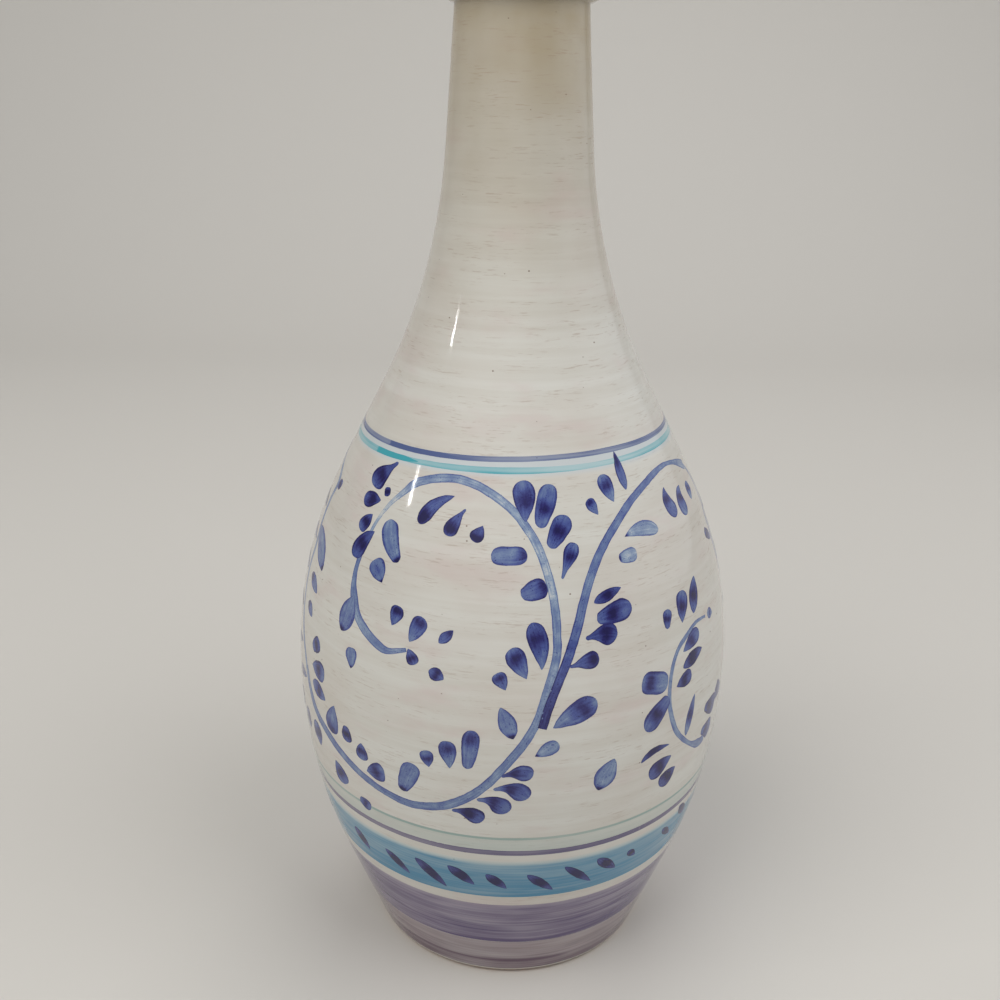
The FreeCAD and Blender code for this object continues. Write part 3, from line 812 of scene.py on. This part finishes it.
# %% Bands
BANDS = {
    # name: (low, high, tilt, start, sweep, swell), thin, thick, streak, cover from low to high
    "shoulder_blue_line": (
        (201.5, 203.1, 1.0, -140.0, 390.0, 0.12), "8391AD", "52608C", 0.3,
        ((0.0, 0.95), (0.5, 0.82), (1.0, 0.9))),
    "shoulder_turquoise_line": (
        (198.2, 200.0, 1.0, -146.0, 382.0, 0.14), "A9CCD0", "459FAC", 0.3,
        ((0.0, 0.85), (0.5, 0.72), (1.0, 0.75))),
    "sage_band": (
        (73.4, 79.3, 0.3, 0.0, 360.0, 0.1), "BEC4BE", "94A8A3", 0.2,
        ((0.0, 0.6), (0.8, 0.5), (0.86, 0.95), (1.0, 0.9))),
    "slate_line": (
        (71.2, 73.5, 0.3, -60.0, 371.0, 0.12), "9089A2", "655E7C", 0.2,
        ((0.0, 1.0), (0.5, 0.9), (1.0, 0.95))),
    "turquoise_band": (
        (49.6, 68.6, 0.2, 0.0, 360.0, 0.15), "87B4C4", "4682A3", 0.2,
        ((0.0, 1.0), (0.12, 0.92), (0.86, 0.86), (1.0, 0.0))),
    # The lavender and lilac foot bands keep their pigments' hues, made darker and warmer as
    # painted shade low on the pot and painted warm bounce light.
    "lavender_band": (
        (20.9, 45.1, 0.1, 0.0, 360.0, 0.2), "796794", "50406C", 0.3,
        ((0.0, 1.0), (0.12, 0.9), (0.5, 0.82), (0.9, 0.8), (1.0, 0.6))),
    "lilac_foot_band": (
        (2.6, 20.9, 0.1, 0.0, 360.0, 0.1), "7C6278", "5A4256", 0.35,
        ((0.0, 0.85), (0.22, 0.75), (0.3, 1.0), (0.4, 0.7), (1.0, 0.62))),
}
FIRST_BAND_SEED = 40
WIDE_BAND = 4.0
POINTS_ROUND_WIDE, POINTS_ROUND_NARROW = 44, 16

for seed, (node, (sizes, thin, thick, streak, cover)) in enumerate(BANDS.items(),
                                                                   FIRST_BAND_SEED):
    ring = Marks()
    ring_path(ring, *sizes, random.Random(seed))
    low, high = sizes[:2]
    points_round = POINTS_ROUND_WIDE if high - low > WIDE_BAND else POINTS_ROUND_NARROW
    finish = band_finish(f"{node}_in_glaze", thin, thick, cover, streak)
    painted = ring.films(f"{node}_paint", f"{node}_colour", finish, **FILM,
                         **{"Points round": points_round, "Waver": 0.25 * MM,
                            "Waver size": 6 * MM})
    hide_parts(node)

# %% [markdown]
# ## The leaf scroll
# The scroll is a common majolica ornament, painted free-hand in cobalt. Its stems are long
# strokes of thin, watery blue. Its leaves are single presses of a round brush: the brush
# touches down, fattens as it is pressed and lifts off, and the wet pigment runs together in
# a dark pool at one end or in the middle. So a leaf is a path with a width, a density and
# a pool along it, and the tree above turns it into a film. The photograph shows the front
# only. The same scroll is laid again behind, and a stem with small leaves links the two at
# each side. Near the pot's left and right edges it still shows parts of that, edge on.

# %% Stems, in pixels: x, y, width, density
MAIN_STEM = (
    (406, 650, 5, .45), (389, 651, 8, .45), (378, 645, 10, .42), (365, 630, 10, .42),
    (357, 614, 9, .42), (354, 596, 9, .45), (354, 582, 6, .48), (356, 569, 5, .45),
    (360, 556, 5, .5), (367, 540, 4, .35), (375, 524, 3.5, .2), (384, 511, 4, .18),
    (393, 501, 5, .2), (404, 492, 7, .25), (416, 483, 10, .32), (433, 479, 11, .38),
    (449, 478, 11, .38), (466, 481, 11, .36), (482, 488, 11, .34), (499, 499, 11, .32),
    (516, 514, 11, .3), (532, 536, 11, .28), (542, 557, 11, .27), (550, 582, 11, .27),
    (555, 607, 11, .36), (557, 632, 11, .4), (557, 655, 11, .38), (552, 676, 11, .36),
    (545, 699, 11, .4), (537, 722, 11, .42), (524, 744, 11, .44), (507, 764, 11, .44),
    (491, 781, 11, .44), (474, 794, 11, .46), (457, 802, 11, .46), (441, 806, 10, .46),
    (424, 806, 9, .46), (408, 803, 8, .46), (391, 795, 7, .46), (375, 785, 6.5, .46),
    (358, 771, 6, .46), (341, 752, 5.5, .48), (330, 736, 5, .48), (318, 714, 4, .46),
    (311, 690, 3, .42), (307, 665, 2.5, .38))
LEFT_RISE = ((340, 478), (330, 500), (322, 522), (316, 545), (310, 566), (306, 590),
             (304, 615), (304.5, 640), (307, 665), (311, 690))
SECOND_STEM = (
    (542, 729, 12, .95), (549.5, 706, 12, .85), (560, 679, 12, .72), (570, 653, 12, .66),
    (578, 626, 12, .54), (586, 593, 11, .46), (596, 562, 11, .48), (606, 541, 10, .52),
    (619, 519, 10, .52), (632, 499, 9, .52), (647, 481, 8, .5), (655, 472, 7, .48),
    (665, 464, 6, .42), (675, 462, 5, .38), (683, 464.5, 4, .32))
SMALL_SCROLL = (
    (705, 616, 2.5, .4), (695.5, 622.6, 3, .42), (685, 638, 4, .42), (679, 648, 4, .42),
    (674, 662, 4, .4), (671, 678, 4, .4), (669.5, 697, 4.5, .38), (671, 714, 5, .38),
    (675.7, 730, 5.5, .4), (683, 739, 6, .42), (691, 743.5, 6, .42), (698.7, 742, 6, .45),
    (703.4, 736, 4, .5))
CREST = (683, 464.5)
RIGHT_FALL = ((691, 477), (700, 499))

# %% Leaves, in pixels: tip x, tip y, head x, head y, width, density, pool, bow, form
INNER_LEAVES = (
    (399, 463, 374, 484, 15, .78, .6, .05, "hook"), (381, 500, 365, 498, 15, .85, .5, 0, "drop"),
    (388, 487, 387, 496, 6, .85, .5, 0, "dab"), (373, 514, 360, 528, 10, .8, .5, 0, "drop"),
    (375, 531, 355, 556, 13, .8, .5, .08, "drop"),
    (398, 562, 391, 521, 16, .5, .03, -.08, "petal"),
    (382, 583, 375, 560, 15, .55, .05, 0, "drop"), (455, 496, 421, 523, 13, .8, .85, .12, "drop"),
    (466, 509, 448, 535, 14, .8, .75, .05, "hook"), (483, 526, 474, 541, 13, .85, .8, 0, "drop"),
    (491, 556, 526, 556, 18, .62, .95, 0, "dab"), (521, 596, 546, 586, 20, .58, .9, 0, "petal"),
    (341, 630, 354, 597, 15, .5, .04, 0, "lens"), (351, 668, 351, 648, 10, .5, .05, 0, "drop"),
    (392, 625, 399, 607, 13, .75, .75, 0, "drop"), (409, 642, 423, 619, 16, .62, .8, 0, "drop"),
    (439, 643, 453, 631, 10, .72, .8, 0, "lens"), (408, 649, 414, 664, 14, .75, .6, 0, "drop"),
    (429, 670, 443, 679, 15, .8, .5, 0, "lens"), (526, 522, 523, 482, 21, .72, .5, 0, "drop"),
    (540, 528, 550, 486, 19, .65, .45, 0, "petal"), (550, 548, 566, 517, 19, .7, .5, 0, "petal"),
    (562, 579, 574, 544, 14, .68, .6, 0, "hook"), (626, 490, 614, 453, 8, .75, .8, 0, "lens"),
    (614, 502, 601, 476, 13, .62, .6, 0, "drop"), (598, 515, 588, 500, 10, .62, .8, 0, "drop"),
    (625, 537, 657, 530, 15, .35, .03, -.14, "drop"),
    (619, 559, 636, 553, 14, .33, .05, 0, "petal"),
    (594, 603, 620, 588, 11, .82, .5, 0, "lens"), (597, 620, 630, 606, 20, .75, .45, 0, "petal"),
    (586, 639, 616, 635, 20, .8, .65, -.08, "hook"), (570, 667, 598, 658, 16, .78, .8, 0, "hook"),
    (553, 728, 595, 702, 21, .5, .7, 0, "drop"), (535, 757, 558, 744, 13, .42, .05, 0, "drop"),
    (542, 670, 532, 625, 19, .68, .65, .06, "drop"), (527, 679, 511, 650, 19, .66, .65, 0, "drop"),
    (506, 690, 497, 674, 14, .7, .7, 0, "drop"), (513, 739, 501, 709, 17, .52, .04, 0, "lens"),
    (467, 769, 472, 732, 17, .62, .75, 0, "petal"), (450, 768, 446, 742, 16, .66, .7, 0, "drop"),
    (429, 767, 425, 751, 12, .7, .5, 0, "drop"), (402, 790, 413, 765, 19, .5, .05, 0, "petal"),
    (367, 771, 384, 773, 17, .74, .5, 0, "drop"), (361, 743, 362, 759, 17, .74, .5, 0, "drop"),
    (346, 726, 347, 741, 10, .82, .5, 0, "petal"), (334, 706, 331, 730, 14, .55, .9, 0, "drop"))
EDGE_LEAVES = (
    (338, 486, 343, 482, 8, .6, .5, 0, "lens"), (322, 571, 321, 527, 7.5, .5, .04, 0, "lens"),
    (312.5, 573, 316.5, 593, 4, .55, .1, 0, "lens"), (309, 601, 312, 616, 3.5, .6, .1, 0, "lens"),
    (313, 647, 319.5, 643, 12, .75, .5, 0, "petal"), (312.5, 664, 324, 676, 9, .7, .5, 0, "drop"),
    (313, 681, 325, 700, 6, .7, .5, 0, "lens"), (315, 719, 321, 744, 5.5, .7, .5, 0, "lens"),
    (307.5, 706, 311, 726, 4, .7, .5, 0, "lens"), (303, 684, 305, 701, 3, .7, .5, 0, "lens"),
    (336, 760, 345, 783, 9, .7, .5, 0, "drop"), (360, 798, 371, 808, 12, .7, .5, 0, "petal"),
    (707, 613, 711.5, 612, 15, .4, .5, 0, "lens"), (715, 690, 719, 687, 11, .7, .5, 0, "lens"),
    (704.5, 708, 713.5, 702, 13, .8, .5, 0, "petal"), (701, 731, 709, 726, 14, .7, .5, 0, "petal"))
RIGHT_LEAVES = (
    (502, 777, 532, 775, 15, .75, .4, -.08, "hook"),
    (493, 790, 527, 798, 16, .7, .5, -.13, "hook"),
    (477, 800, 506, 812, 16, .7, .5, -.12, "hook"), (452, 810, 482, 820, 14, .8, .5, -.06, "hook"),
    (641, 763, 668, 745, 5, .85, .5, -.08, "lens"), (671, 755, 650, 777, 11, .8, .5, 0, "drop"),
    (675, 766, 660, 785, 9, .82, .5, 0, "drop"), (598, 790, 614, 760, 17, .42, .04, 0, "lens"),
    (693.5, 613, 693.5, 577, 8, .75, .5, 0, "lens"),
    (682.4, 622.6, 681.7, 591.5, 10.5, .7, .5, 0, "drop"),
    (667.7, 628.8, 667.4, 610, 8, .72, .5, 0, "petal"),
    (683.3, 651.7, 698, 631, 9, .7, .5, 0, "drop"), (683.3, 668, 701, 648, 8, .85, .5, 0, "lens"),
    (676.6, 687, 691, 673.7, 9, .82, .5, 0, "drop"), (642, 683, 667, 683, 21, .62, .3, 0, "dab"),
    (669, 697, 647, 729.8, 14, .6, .5, 0, "petal"), (685.7, 735, 694.4, 695, 5, .5, .5, 0, "lens"),
    (663.4, 487, 677, 512.6, 9, .7, .4, .1, "drop"),
    (678.6, 484.7, 687.3, 511, 7, .55, .4, .1, "drop"),
    (685.7, 480.7, 691.3, 498, 4, .45, .4, 0, "lens"))

# %% Shape of one leaf
LEAF_POINTS = 19
LEAF_SHARES = [(1 - math.cos(math.pi * k / (LEAF_POINTS - 1))) / 2 for k in range(LEAF_POINTS)]
LEAF_FULLNESS, LEAF_REACH = 1.1, 1.04
WIDEST_HALF_LEAF = 4.1 * MM
THINNEST_HALF, FATTEST_SHARE = 0.02 * MM, 0.46
WATERY, THINNED = 0.6, 0.12
TIP_POOL, BODY_POOL = (0.75, 0.075), (0.44, 0.2)
LEAF_WASH, STEM_WASH = 0.6, 0.45
LEAF_LIFT = (0.02, 0.03)
MOST_SEED = 50
# Where a press is widest from its tip, how wide the tip is, and how slowly it widens.
PRESSES = {"drop": (0.68, 0.0, 0.85), "hook": (0.72, 0.2, 2.6), "petal": (0.68, 0.42, 0.85)}
BLUNT_SHARE = 0.05


def leaf_width(form, share):
    """The width of a press of the brush, from its tip (0) to its lifted end (1), at most 1."""
    if form == "lens":
        return math.sin(math.pi * min(1.0, share ** 0.85)) ** 0.75
    if form == "dab":
        return (1 - abs(2 * share - 1) ** 4.5) ** 0.5
    widest, narrow, power = PRESSES[form]
    if share >= widest:
        return math.sqrt(max(0.0, 1 - ((share - widest) / (1 - widest)) ** 2.5))
    width = narrow + (1 - narrow) * math.sin(math.pi / 2 * share / widest) ** power
    return width * min(1.0, (share / BLUNT_SHARE) ** 0.5) if narrow else width


def across_stroke(x, y, side_x, side_y, half):
    """The place on the glaze at a pixel, and half the real width of the stroke there."""
    left = on_glaze(x - side_x * half, y - side_y * half)
    right = on_glaze(x + side_x * half, y + side_y * half)
    return on_glaze(x, y), (left - right).length / 2


def lay_leaf(marks, points, widths, pigment, pool, draw):
    """Add one leaf, with its pigment run together in a pool at a share of its length."""
    gain, spread = TIP_POOL if pool < 0.1 else BODY_POOL
    marks.path(points, half_width=widths, pigment=pigment,
               pool=[gain * math.exp(-((share - pool) / spread) ** 2) for share in LEAF_SHARES],
               wash=LEAF_WASH, stack=draw.uniform(*LEAF_LIFT) * MM,
               mark_seed=draw.uniform(0, MOST_SEED))


def leaf(marks, row, draw):
    """Lay a leaf that the photograph shows, from its row of pixels."""
    tip_x, tip_y, head_x, head_y, width, pigment, pool, bow, form = row
    run_x, run_y = (head_x - tip_x) * LEAF_REACH, (head_y - tip_y) * LEAF_REACH
    length = math.hypot(run_x, run_y)
    side_x, side_y = -run_y / length, run_x / length
    real_length = (on_glaze(tip_x, tip_y) - on_glaze(head_x, head_y)).length
    points, widths = [], []
    for share in LEAF_SHARES:
        out = bow * length * 4 * share * (1 - share)
        point, half = across_stroke(
            tip_x + run_x * share + side_x * out, tip_y + run_y * share + side_y * out,
            side_x, side_y, width / 2 * LEAF_FULLNESS * leaf_width(form, share))
        points.append(point)
        widths.append(max(THINNEST_HALF, half))
    shrink = min(1.0, min(WIDEST_HALF_LEAF, FATTEST_SHARE * real_length) / max(widths))
    lay_leaf(marks, points, [half * shrink for half in widths],
             pigment - THINNED * (pigment > WATERY), pool, draw)


# %% Shape of a stem
STEM_PIECES = 5
WIDEST_HALF_STEM = 1.9 * MM
STEM_FULLNESS = 0.82


def smoothed(rows):
    """The rows of numbers with more rows between them, on a Catmull-Rom curve."""
    rows = [rows[0]] + list(rows) + [rows[-1]]
    smooth = []
    for before, start, end, after in zip(rows, rows[1:], rows[2:], rows[3:]):
        for k in range(STEM_PIECES):
            t = k / STEM_PIECES
            smooth.append([(2 * b + (c - a) * t + (2 * a - 5 * b + 4 * c - d) * t ** 2
                            + (3 * b - a - 3 * c + d) * t ** 3) / 2
                           for a, b, c, d in zip(before, start, end, after)])
    return smooth + [list(rows[-1])]


def stem(marks, rows, draw, lift):
    """Lay one stem along a smooth curve through its pixels."""
    smooth = smoothed(rows)
    points, widths, loads = [], [], []
    for k, (x, y, width, density) in enumerate(smooth):
        next_x, next_y = smooth[min(k + 1, len(smooth) - 1)][:2]
        last_x, last_y = smooth[max(k - 1, 0)][:2]
        length = math.hypot(next_x - last_x, next_y - last_y)
        point, half = across_stroke(x, y, (last_y - next_y) / length, (next_x - last_x) / length,
                                    width / 2 * STEM_FULLNESS)
        points.append(point)
        widths.append(min(WIDEST_HALF_STEM, half))
        loads.append(density)
    marks.path(points, half_width=widths, pigment=loads, pool=0.0, wash=STEM_WASH, stack=lift,
               mark_seed=draw.uniform(0, MOST_SEED))


# %% Stems and leaves on the sides
LINK_HALF_WIDTH, LINK_START_SHARE = 1.25 * MM, 0.6
LINK_PIGMENT, LINK_LIFT = 0.34, 0.008 * MM
WIDEST_SIDE_HALF, SIDE_POOL = 2.3 * MM, 0.6
SIDE_LEAF_GAP, SIDE_LEAF_LENGTHS = 3 * MM, (6.5, 10)
SIDE_LEAF_LEAN, SIDE_PIGMENT, SIDE_FATNESS = (-0.9, -0.3), (0.5, 0.7), (0.4, 0.5)
SIDE_FORMS = ("drop", "petal", "drop", "hook")
FIRST_SIDE_LEAF, WAY_POINTS = 12, 3


def linking_stem(marks, places, narrow, draw):
    """Lay a stem through places on the glaze, the first ones narrow, and give back its way."""
    half_widths = [LINK_HALF_WIDTH * (LINK_START_SHARE if k < narrow else 1)
                   for k in range(len(places))]
    way = smoothed([(*place, half) for place, half in zip(places, half_widths)])
    close = smoothed(way)
    marks.path([outside(Vector(row[:3])) for row in close], half_width=[row[3] for row in close],
               pigment=LINK_PIGMENT, pool=0.0, wash=STEM_WASH, stack=LINK_LIFT,
               mark_seed=draw.uniform(0, MOST_SEED))
    return [outside(Vector(row[:3])) for row in way]


def side_leaf(marks, start, way, length, draw, pigment, form, fatness):
    """Lay a leaf on a side of the pot, which the photograph shows edge on or not at all."""
    points = [outside(start + way * length * share) for share in LEAF_SHARES]
    half = min(WIDEST_SIDE_HALF, length * fatness / 2)
    widths = [max(THINNEST_HALF, half * leaf_width(form, share)) for share in LEAF_SHARES]
    lay_leaf(marks, points, widths, pigment, SIDE_POOL, draw)


def leaves_along(marks, points, every, sides, draw):
    """Leaves that branch off a stem one after another, on the given sides in turn."""
    for order, k in enumerate(range(FIRST_SIDE_LEAF, len(points) - WAY_POINTS, every)):
        run = (points[k + WAY_POINTS] - points[k - WAY_POINTS]).normalized()
        outward = glaze_tree.find_nearest(points[k])[1]
        across = outward.cross(run) * sides[order % len(sides)]
        way = (across + run * draw.uniform(*SIDE_LEAF_LEAN)).normalized()
        side_leaf(marks, points[k] + across * SIDE_LEAF_GAP, way,
                  draw.uniform(*SIDE_LEAF_LENGTHS) * MM, draw, draw.uniform(*SIDE_PIGMENT),
                  draw.choice(SIDE_FORMS), draw.uniform(*SIDE_FATNESS))


# %% Cobalt finish
COBALT = ((0.0, "BAC4CB"), (0.15, "9CABBD"), (0.35, "6F81A4"), (0.6, "485591"),
          (0.85, "2B2A67"), (1.0, "1E1B4C"))
HAIR_LENGTH, HAIRS_ACROSS = 9 * MM, 3.0
CLOUD_SIZE, GRAIN_SIZE = 3.5 * MM, 0.45 * MM
# Across a mark: where its rim or its pool starts and ends, and the two values there.
RIM, POOL = (0.62, 0.97, -0.12, 0.34), (0.35, 0.95, 1.0, 0.25)
DOTS, COVER = (0.66, 0.74, 0.0, 0.3), (0.03, 0.2)


def cobalt_finish():
    """Cobalt in the glaze. To the eye: ink blue, watery to dense, with dark rims and pools."""
    finish, tree, end = new_finish("cobalt_blue_in_glaze")
    put = partial(add, tree)
    read = {name: put("ShaderNodeAttribute", attribute_name=name).outputs["Fac"]
            for name in ("across", "along", "pigment", "wash", "pool", "mark_seed")}
    edge = put("ShaderNodeMath", [read["across"]], operation="ABSOLUTE")
    load = read["pigment"]
    # The rim of a press is darker than its inside, and a pool is darkest along its middle.
    for name, change in (("wash", RIM), ("pool", POOL)):
        share = put("ShaderNodeMapRange", [edge, *change], **SOFT)
        load = put("ShaderNodeMath", [share, read[name], load], operation="MULTIPLY_ADD")
    # Hairs of the brush run along the mark, clouds and grains of pigment lie anywhere in it.
    run = put("ShaderNodeMath", [read["along"], 1 / HAIR_LENGTH], operation="MULTIPLY")
    wide = put("ShaderNodeMath", [read["across"], HAIRS_ACROSS], operation="MULTIPLY")
    hair_place = put("ShaderNodeCombineXYZ", [run, wide, read["mark_seed"]])
    place = put("ShaderNodeTexCoord").outputs["Object"]
    for where, scale, detail, roughness, weight in (
            (hair_place, 1.0, 4.0, 0.6, 0.5), (place, 1 / CLOUD_SIZE, 3.0, 0.5, 0.45),
            (place, 1 / GRAIN_SIZE, 1.0, 0.5, 0.12)):
        grain = put("ShaderNodeTexNoise", {"Vector": where, "Scale": scale, "Detail": detail,
                                           "Roughness": roughness})
        part = put("ShaderNodeMath", [grain, 0.5], operation="SUBTRACT")
        load = put("ShaderNodeMath", [part, weight, load], operation="MULTIPLY_ADD")
    dots = put("ShaderNodeMapRange", [grain, *DOTS], **SOFT)
    load = put("ShaderNodeMath", [load, dots], operation="ADD")
    shade = put("ShaderNodeValToRGB", [load])
    stops(shade, COBALT)
    cover = put("ShaderNodeMapRange", [load, *COVER])
    glazed(tree, end, shade, cover)
    return finish


cobalt = cobalt_finish()

# %% Stems
STROKE = {"Lift": 0.03 * MM, "Sink": 0.02 * MM, "Seed": 5.0, "Points round": 16,
          "Waver": 0.55 * MM, "Waver size": 2.6 * MM}
# Angles in degrees from the right-hand side, and heights in millimetres.
UNSEEN_FALL = ((-10, 168), (-8.5, 154), (-3, 142))
LEFT_RISE_LOW = 6

draw = random.Random(11)
stems = Marks()
for rows, lift in ((MAIN_STEM, 0.012), (SECOND_STEM, 0.016), (SMALL_SCROLL, 0.012)):
    stem(stems, rows, draw, lift * MM)
stems.repeat_behind()

# The scroll runs on round both sides: each crest comes down as the next long stem.
crest = on_glaze(*CREST)
left_rise = [on_glaze(*pixel) for pixel in LEFT_RISE]
right_places = [crest] + [on_glaze(*pixel) for pixel in RIGHT_FALL]
right_places += [glaze_at(math.radians(angle), height * MM) for angle, height in UNSEEN_FALL]
right_places += [behind(place) for place in left_rise[LEFT_RISE_LOW:]]
left_link = linking_stem(stems, [behind(crest)] + left_rise, 1, draw)
right_link = linking_stem(stems, right_places, 1 + len(RIGHT_FALL), draw)
stems.films("scroll_stems", "shoulder_blue_line_colour", cobalt, **STROKE)

# %% Leaves
leaves = Marks()
for row in INNER_LEAVES + EDGE_LEAVES + RIGHT_LEAVES:
    leaf(leaves, row, draw)
leaves.repeat_behind()
leaves_along(leaves, left_link, 7, (-1,), draw)
leaves_along(leaves, right_link, 5, (1, -1), draw)
leaves.films("scroll_leaves", "shoulder_blue_line_colour", cobalt,
             **{**STROKE, "Waver": 0.8 * MM, "Waver size": 3.2 * MM})

# %% Dashes on the turquoise band, in pixels: two ends and the width
SEEN_DASHES = (
    (354.8, 826, 370, 848.4, 4), (385.4, 848.4, 409, 872, 5), (415, 857.4, 445.6, 885, 7),
    (447.5, 865.4, 473.4, 883.8, 8), (485.7, 874.3, 505.7, 888, 7.5),
    (527, 875, 551.7, 889, 7.5), (565, 866.8, 589.4, 880, 7), (597.7, 859, 614, 867, 9),
    (628, 851, 634, 854, 7), (662.5, 829, 668, 832, 8), (679.5, 806, 683, 810, 6))
UNSEEN_DASH_ANGLES = (-21, -8, 6, 21, 170, 184, 199)
DASH_TOPS, DASH_FEET, DASH_TURNS = (60, 62), (54, 56), (4, 5.5)
# Density, pool, bow and form, then density, form and fatness.
SEEN_DASH, UNSEEN_DASH = (.9, .5, 0, "lens"), (0.78, "lens", 0.3)

dashes = Marks()
for row in SEEN_DASHES:
    leaf(dashes, (*row, *SEEN_DASH), draw)
dashes.repeat_behind()
for angle in UNSEEN_DASH_ANGLES:
    high = glaze_at(math.radians(angle), draw.uniform(*DASH_TOPS) * MM)
    low = glaze_at(math.radians(angle + draw.uniform(*DASH_TURNS)),
                   draw.uniform(*DASH_FEET) * MM)
    side_leaf(dashes, high, (low - high).normalized(), (low - high).length, draw, *UNSEEN_DASH)
dashes.films("band_dashes", "slate_line_colour", cobalt, **{**STROKE, "Lift": 0.05 * MM})

# %% [markdown]
# ## The studio
# The vase stands on a pale floor that curves up into a backdrop, under three large soft lamps.
# A glossy white pot would mirror them as hard squares, so they are hidden from its shine. The
# shine has sources of its own, each placed for a pixel of the photograph: two soft windows in
# the air give the broad pale sheens on the belly, and two narrow tubes the small sharp ones.

# %% Floor
FLOOR_WIDTH, FLOOR_FRONT, FLOOR_BACK, WALL_HEIGHT, SWEEP_RADIUS = 4.0, -1.6, 1.6, 2.6, 0.6
SWEEP_STEPS = 16


def studio_sweep():
    """A floor that curves up into a wall behind, in one smooth sheet."""
    line = [(FLOOR_FRONT, 0.0)]
    for k in range(SWEEP_STEPS + 1):
        angle = math.pi / 2 * k / SWEEP_STEPS
        line.append((FLOOR_BACK - SWEEP_RADIUS + SWEEP_RADIUS * math.sin(angle),
                     SWEEP_RADIUS - SWEEP_RADIUS * math.cos(angle)))
    line.append((FLOOR_BACK, WALL_HEIGHT))
    points = [(side * FLOOR_WIDTH / 2, y, z) for y, z in line for side in (-1, 1)]
    faces = [(2 * k, 2 * k + 1, 2 * k + 3, 2 * k + 2) for k in range(len(line) - 1)]
    sweep = new_piece("studio_sweep", points, [], faces)
    sweep.data.shade_smooth()
    # To the eye: a plain warm grey without any shine.
    finish, tree, end = new_finish("pale_matt_paper")
    paper = add(tree, "ShaderNodeBsdfPrincipled", {"Base Color": colour("CBC8C3"),
                                                   "Roughness": 0.9})
    tree.links.new(output(paper), end.inputs["Surface"])
    sweep.data.materials.append(finish)


studio_sweep()

# %% Lamps
BELLY_CENTRE = Vector((0.0, 0.0, 0.13))
CEILING_LAMPS = {
    # name: place, side, watts, tint
    "ceiling_left": ((-0.9, -0.8, 1.7), 1.4, 20.0, "FFFDF8"),
    "ceiling_right": ((1.0, -0.6, 1.5), 1.2, 13.0, "FFFFFF"),
    "ceiling_back": ((0.2, 1.2, 1.7), 1.2, 8.0, "FFFFFF"),
}
TUBE_LAMPS = {
    # name: the pixels between which its shine runs, watts
    "tube_lamp": ((458, 314), (453.5, 338), 0.3),
    "low_tube_lamp": ((415.5, 480), (414, 486), 0.1),
}
TUBE_DISTANCE, TUBE_WIDTH = 1.6, 0.015


def area_lamp(name, length, width, power):
    """A rectangular lamp, still at the origin."""
    data = bpy.data.lights.new(name, "AREA")
    data.shape = "RECTANGLE"
    data.size, data.size_y = length, width
    data.energy = power
    lamp = bpy.data.objects.new(name, data)
    bpy.context.scene.collection.objects.link(lamp)
    return lamp


def shine_way(x, y):
    """The place on the glaze at a pixel, and the direction that it mirrors to the camera."""
    ray = pixel_ray(x, y)
    place, outward, _, _ = glaze_tree.ray_cast(CAMERA_PLACE, ray)
    return place, ray - 2 * ray.dot(outward) * outward


for name, (place, side, power, tint) in CEILING_LAMPS.items():
    lamp = area_lamp(name, side, side, power)
    lamp.data.color = colour(tint)[:3]
    lamp.location = place
    lamp.rotation_euler = (BELLY_CENTRE - Vector(place)).to_track_quat("-Z", "Y").to_euler()
    lamp.visible_glossy = False

for name, (*pixels, power) in TUBE_LAMPS.items():
    first, last = [place + way * TUBE_DISTANCE
                   for place, way in (shine_way(*pixel) for pixel in pixels)]
    middle = (first + last) / 2
    along = (last - first).normalized()
    over = (middle - BELLY_CENTRE).normalized().cross(along).normalized()
    lamp = area_lamp(name, (last - first).length, TUBE_WIDTH, power)
    lamp.matrix_world = Matrix.Translation(middle) @ Matrix(
        (along, over, along.cross(over))).transposed().to_4x4()
    print(name, "is", round(lamp.data.size, 2), "m long")

# %% Air with two soft windows
# The pixel where each window's sheen lies, and its strength.
WINDOWS = (((470, 575), 0.5), ((668, 545), 0.6))
WINDOW_EDGE, WINDOW_CORE = math.cos(math.radians(48)), math.cos(math.radians(12))
AIR_GLOW, PALE_AIR = 0.22, 0.55

world = bpy.data.worlds.new("studio_air")
bpy.context.scene.world = world
world.use_nodes = True
world.node_tree.nodes.clear()
put = partial(add, world.node_tree)
looking = put("ShaderNodeTexCoord").outputs["Generated"]
glow = AIR_GLOW
for pixel, strength in WINDOWS:
    near = put("ShaderNodeVectorMath", [looking, tuple(shine_way(*pixel)[1])],
               operation="DOT_PRODUCT").outputs["Value"]
    near = put("ShaderNodeMapRange", [near, WINDOW_EDGE, WINDOW_CORE, 0.0, strength], **SOFT)
    glow = put("ShaderNodeMath", [near, glow], operation="ADD")
seen = put("ShaderNodeLightPath").outputs["Is Camera Ray"]
strength = put("ShaderNodeMix", {"Factor": seen, "A": glow, "B": PALE_AIR}, data_type="FLOAT")
air = put("ShaderNodeBackground", {"Color": colour("F4F5F6"), "Strength": strength})
sky = put("ShaderNodeOutputWorld")
world.node_tree.links.new(air.outputs[0], sky.inputs["Surface"])
bpy.context.scene.view_settings.view_transform = "Standard"
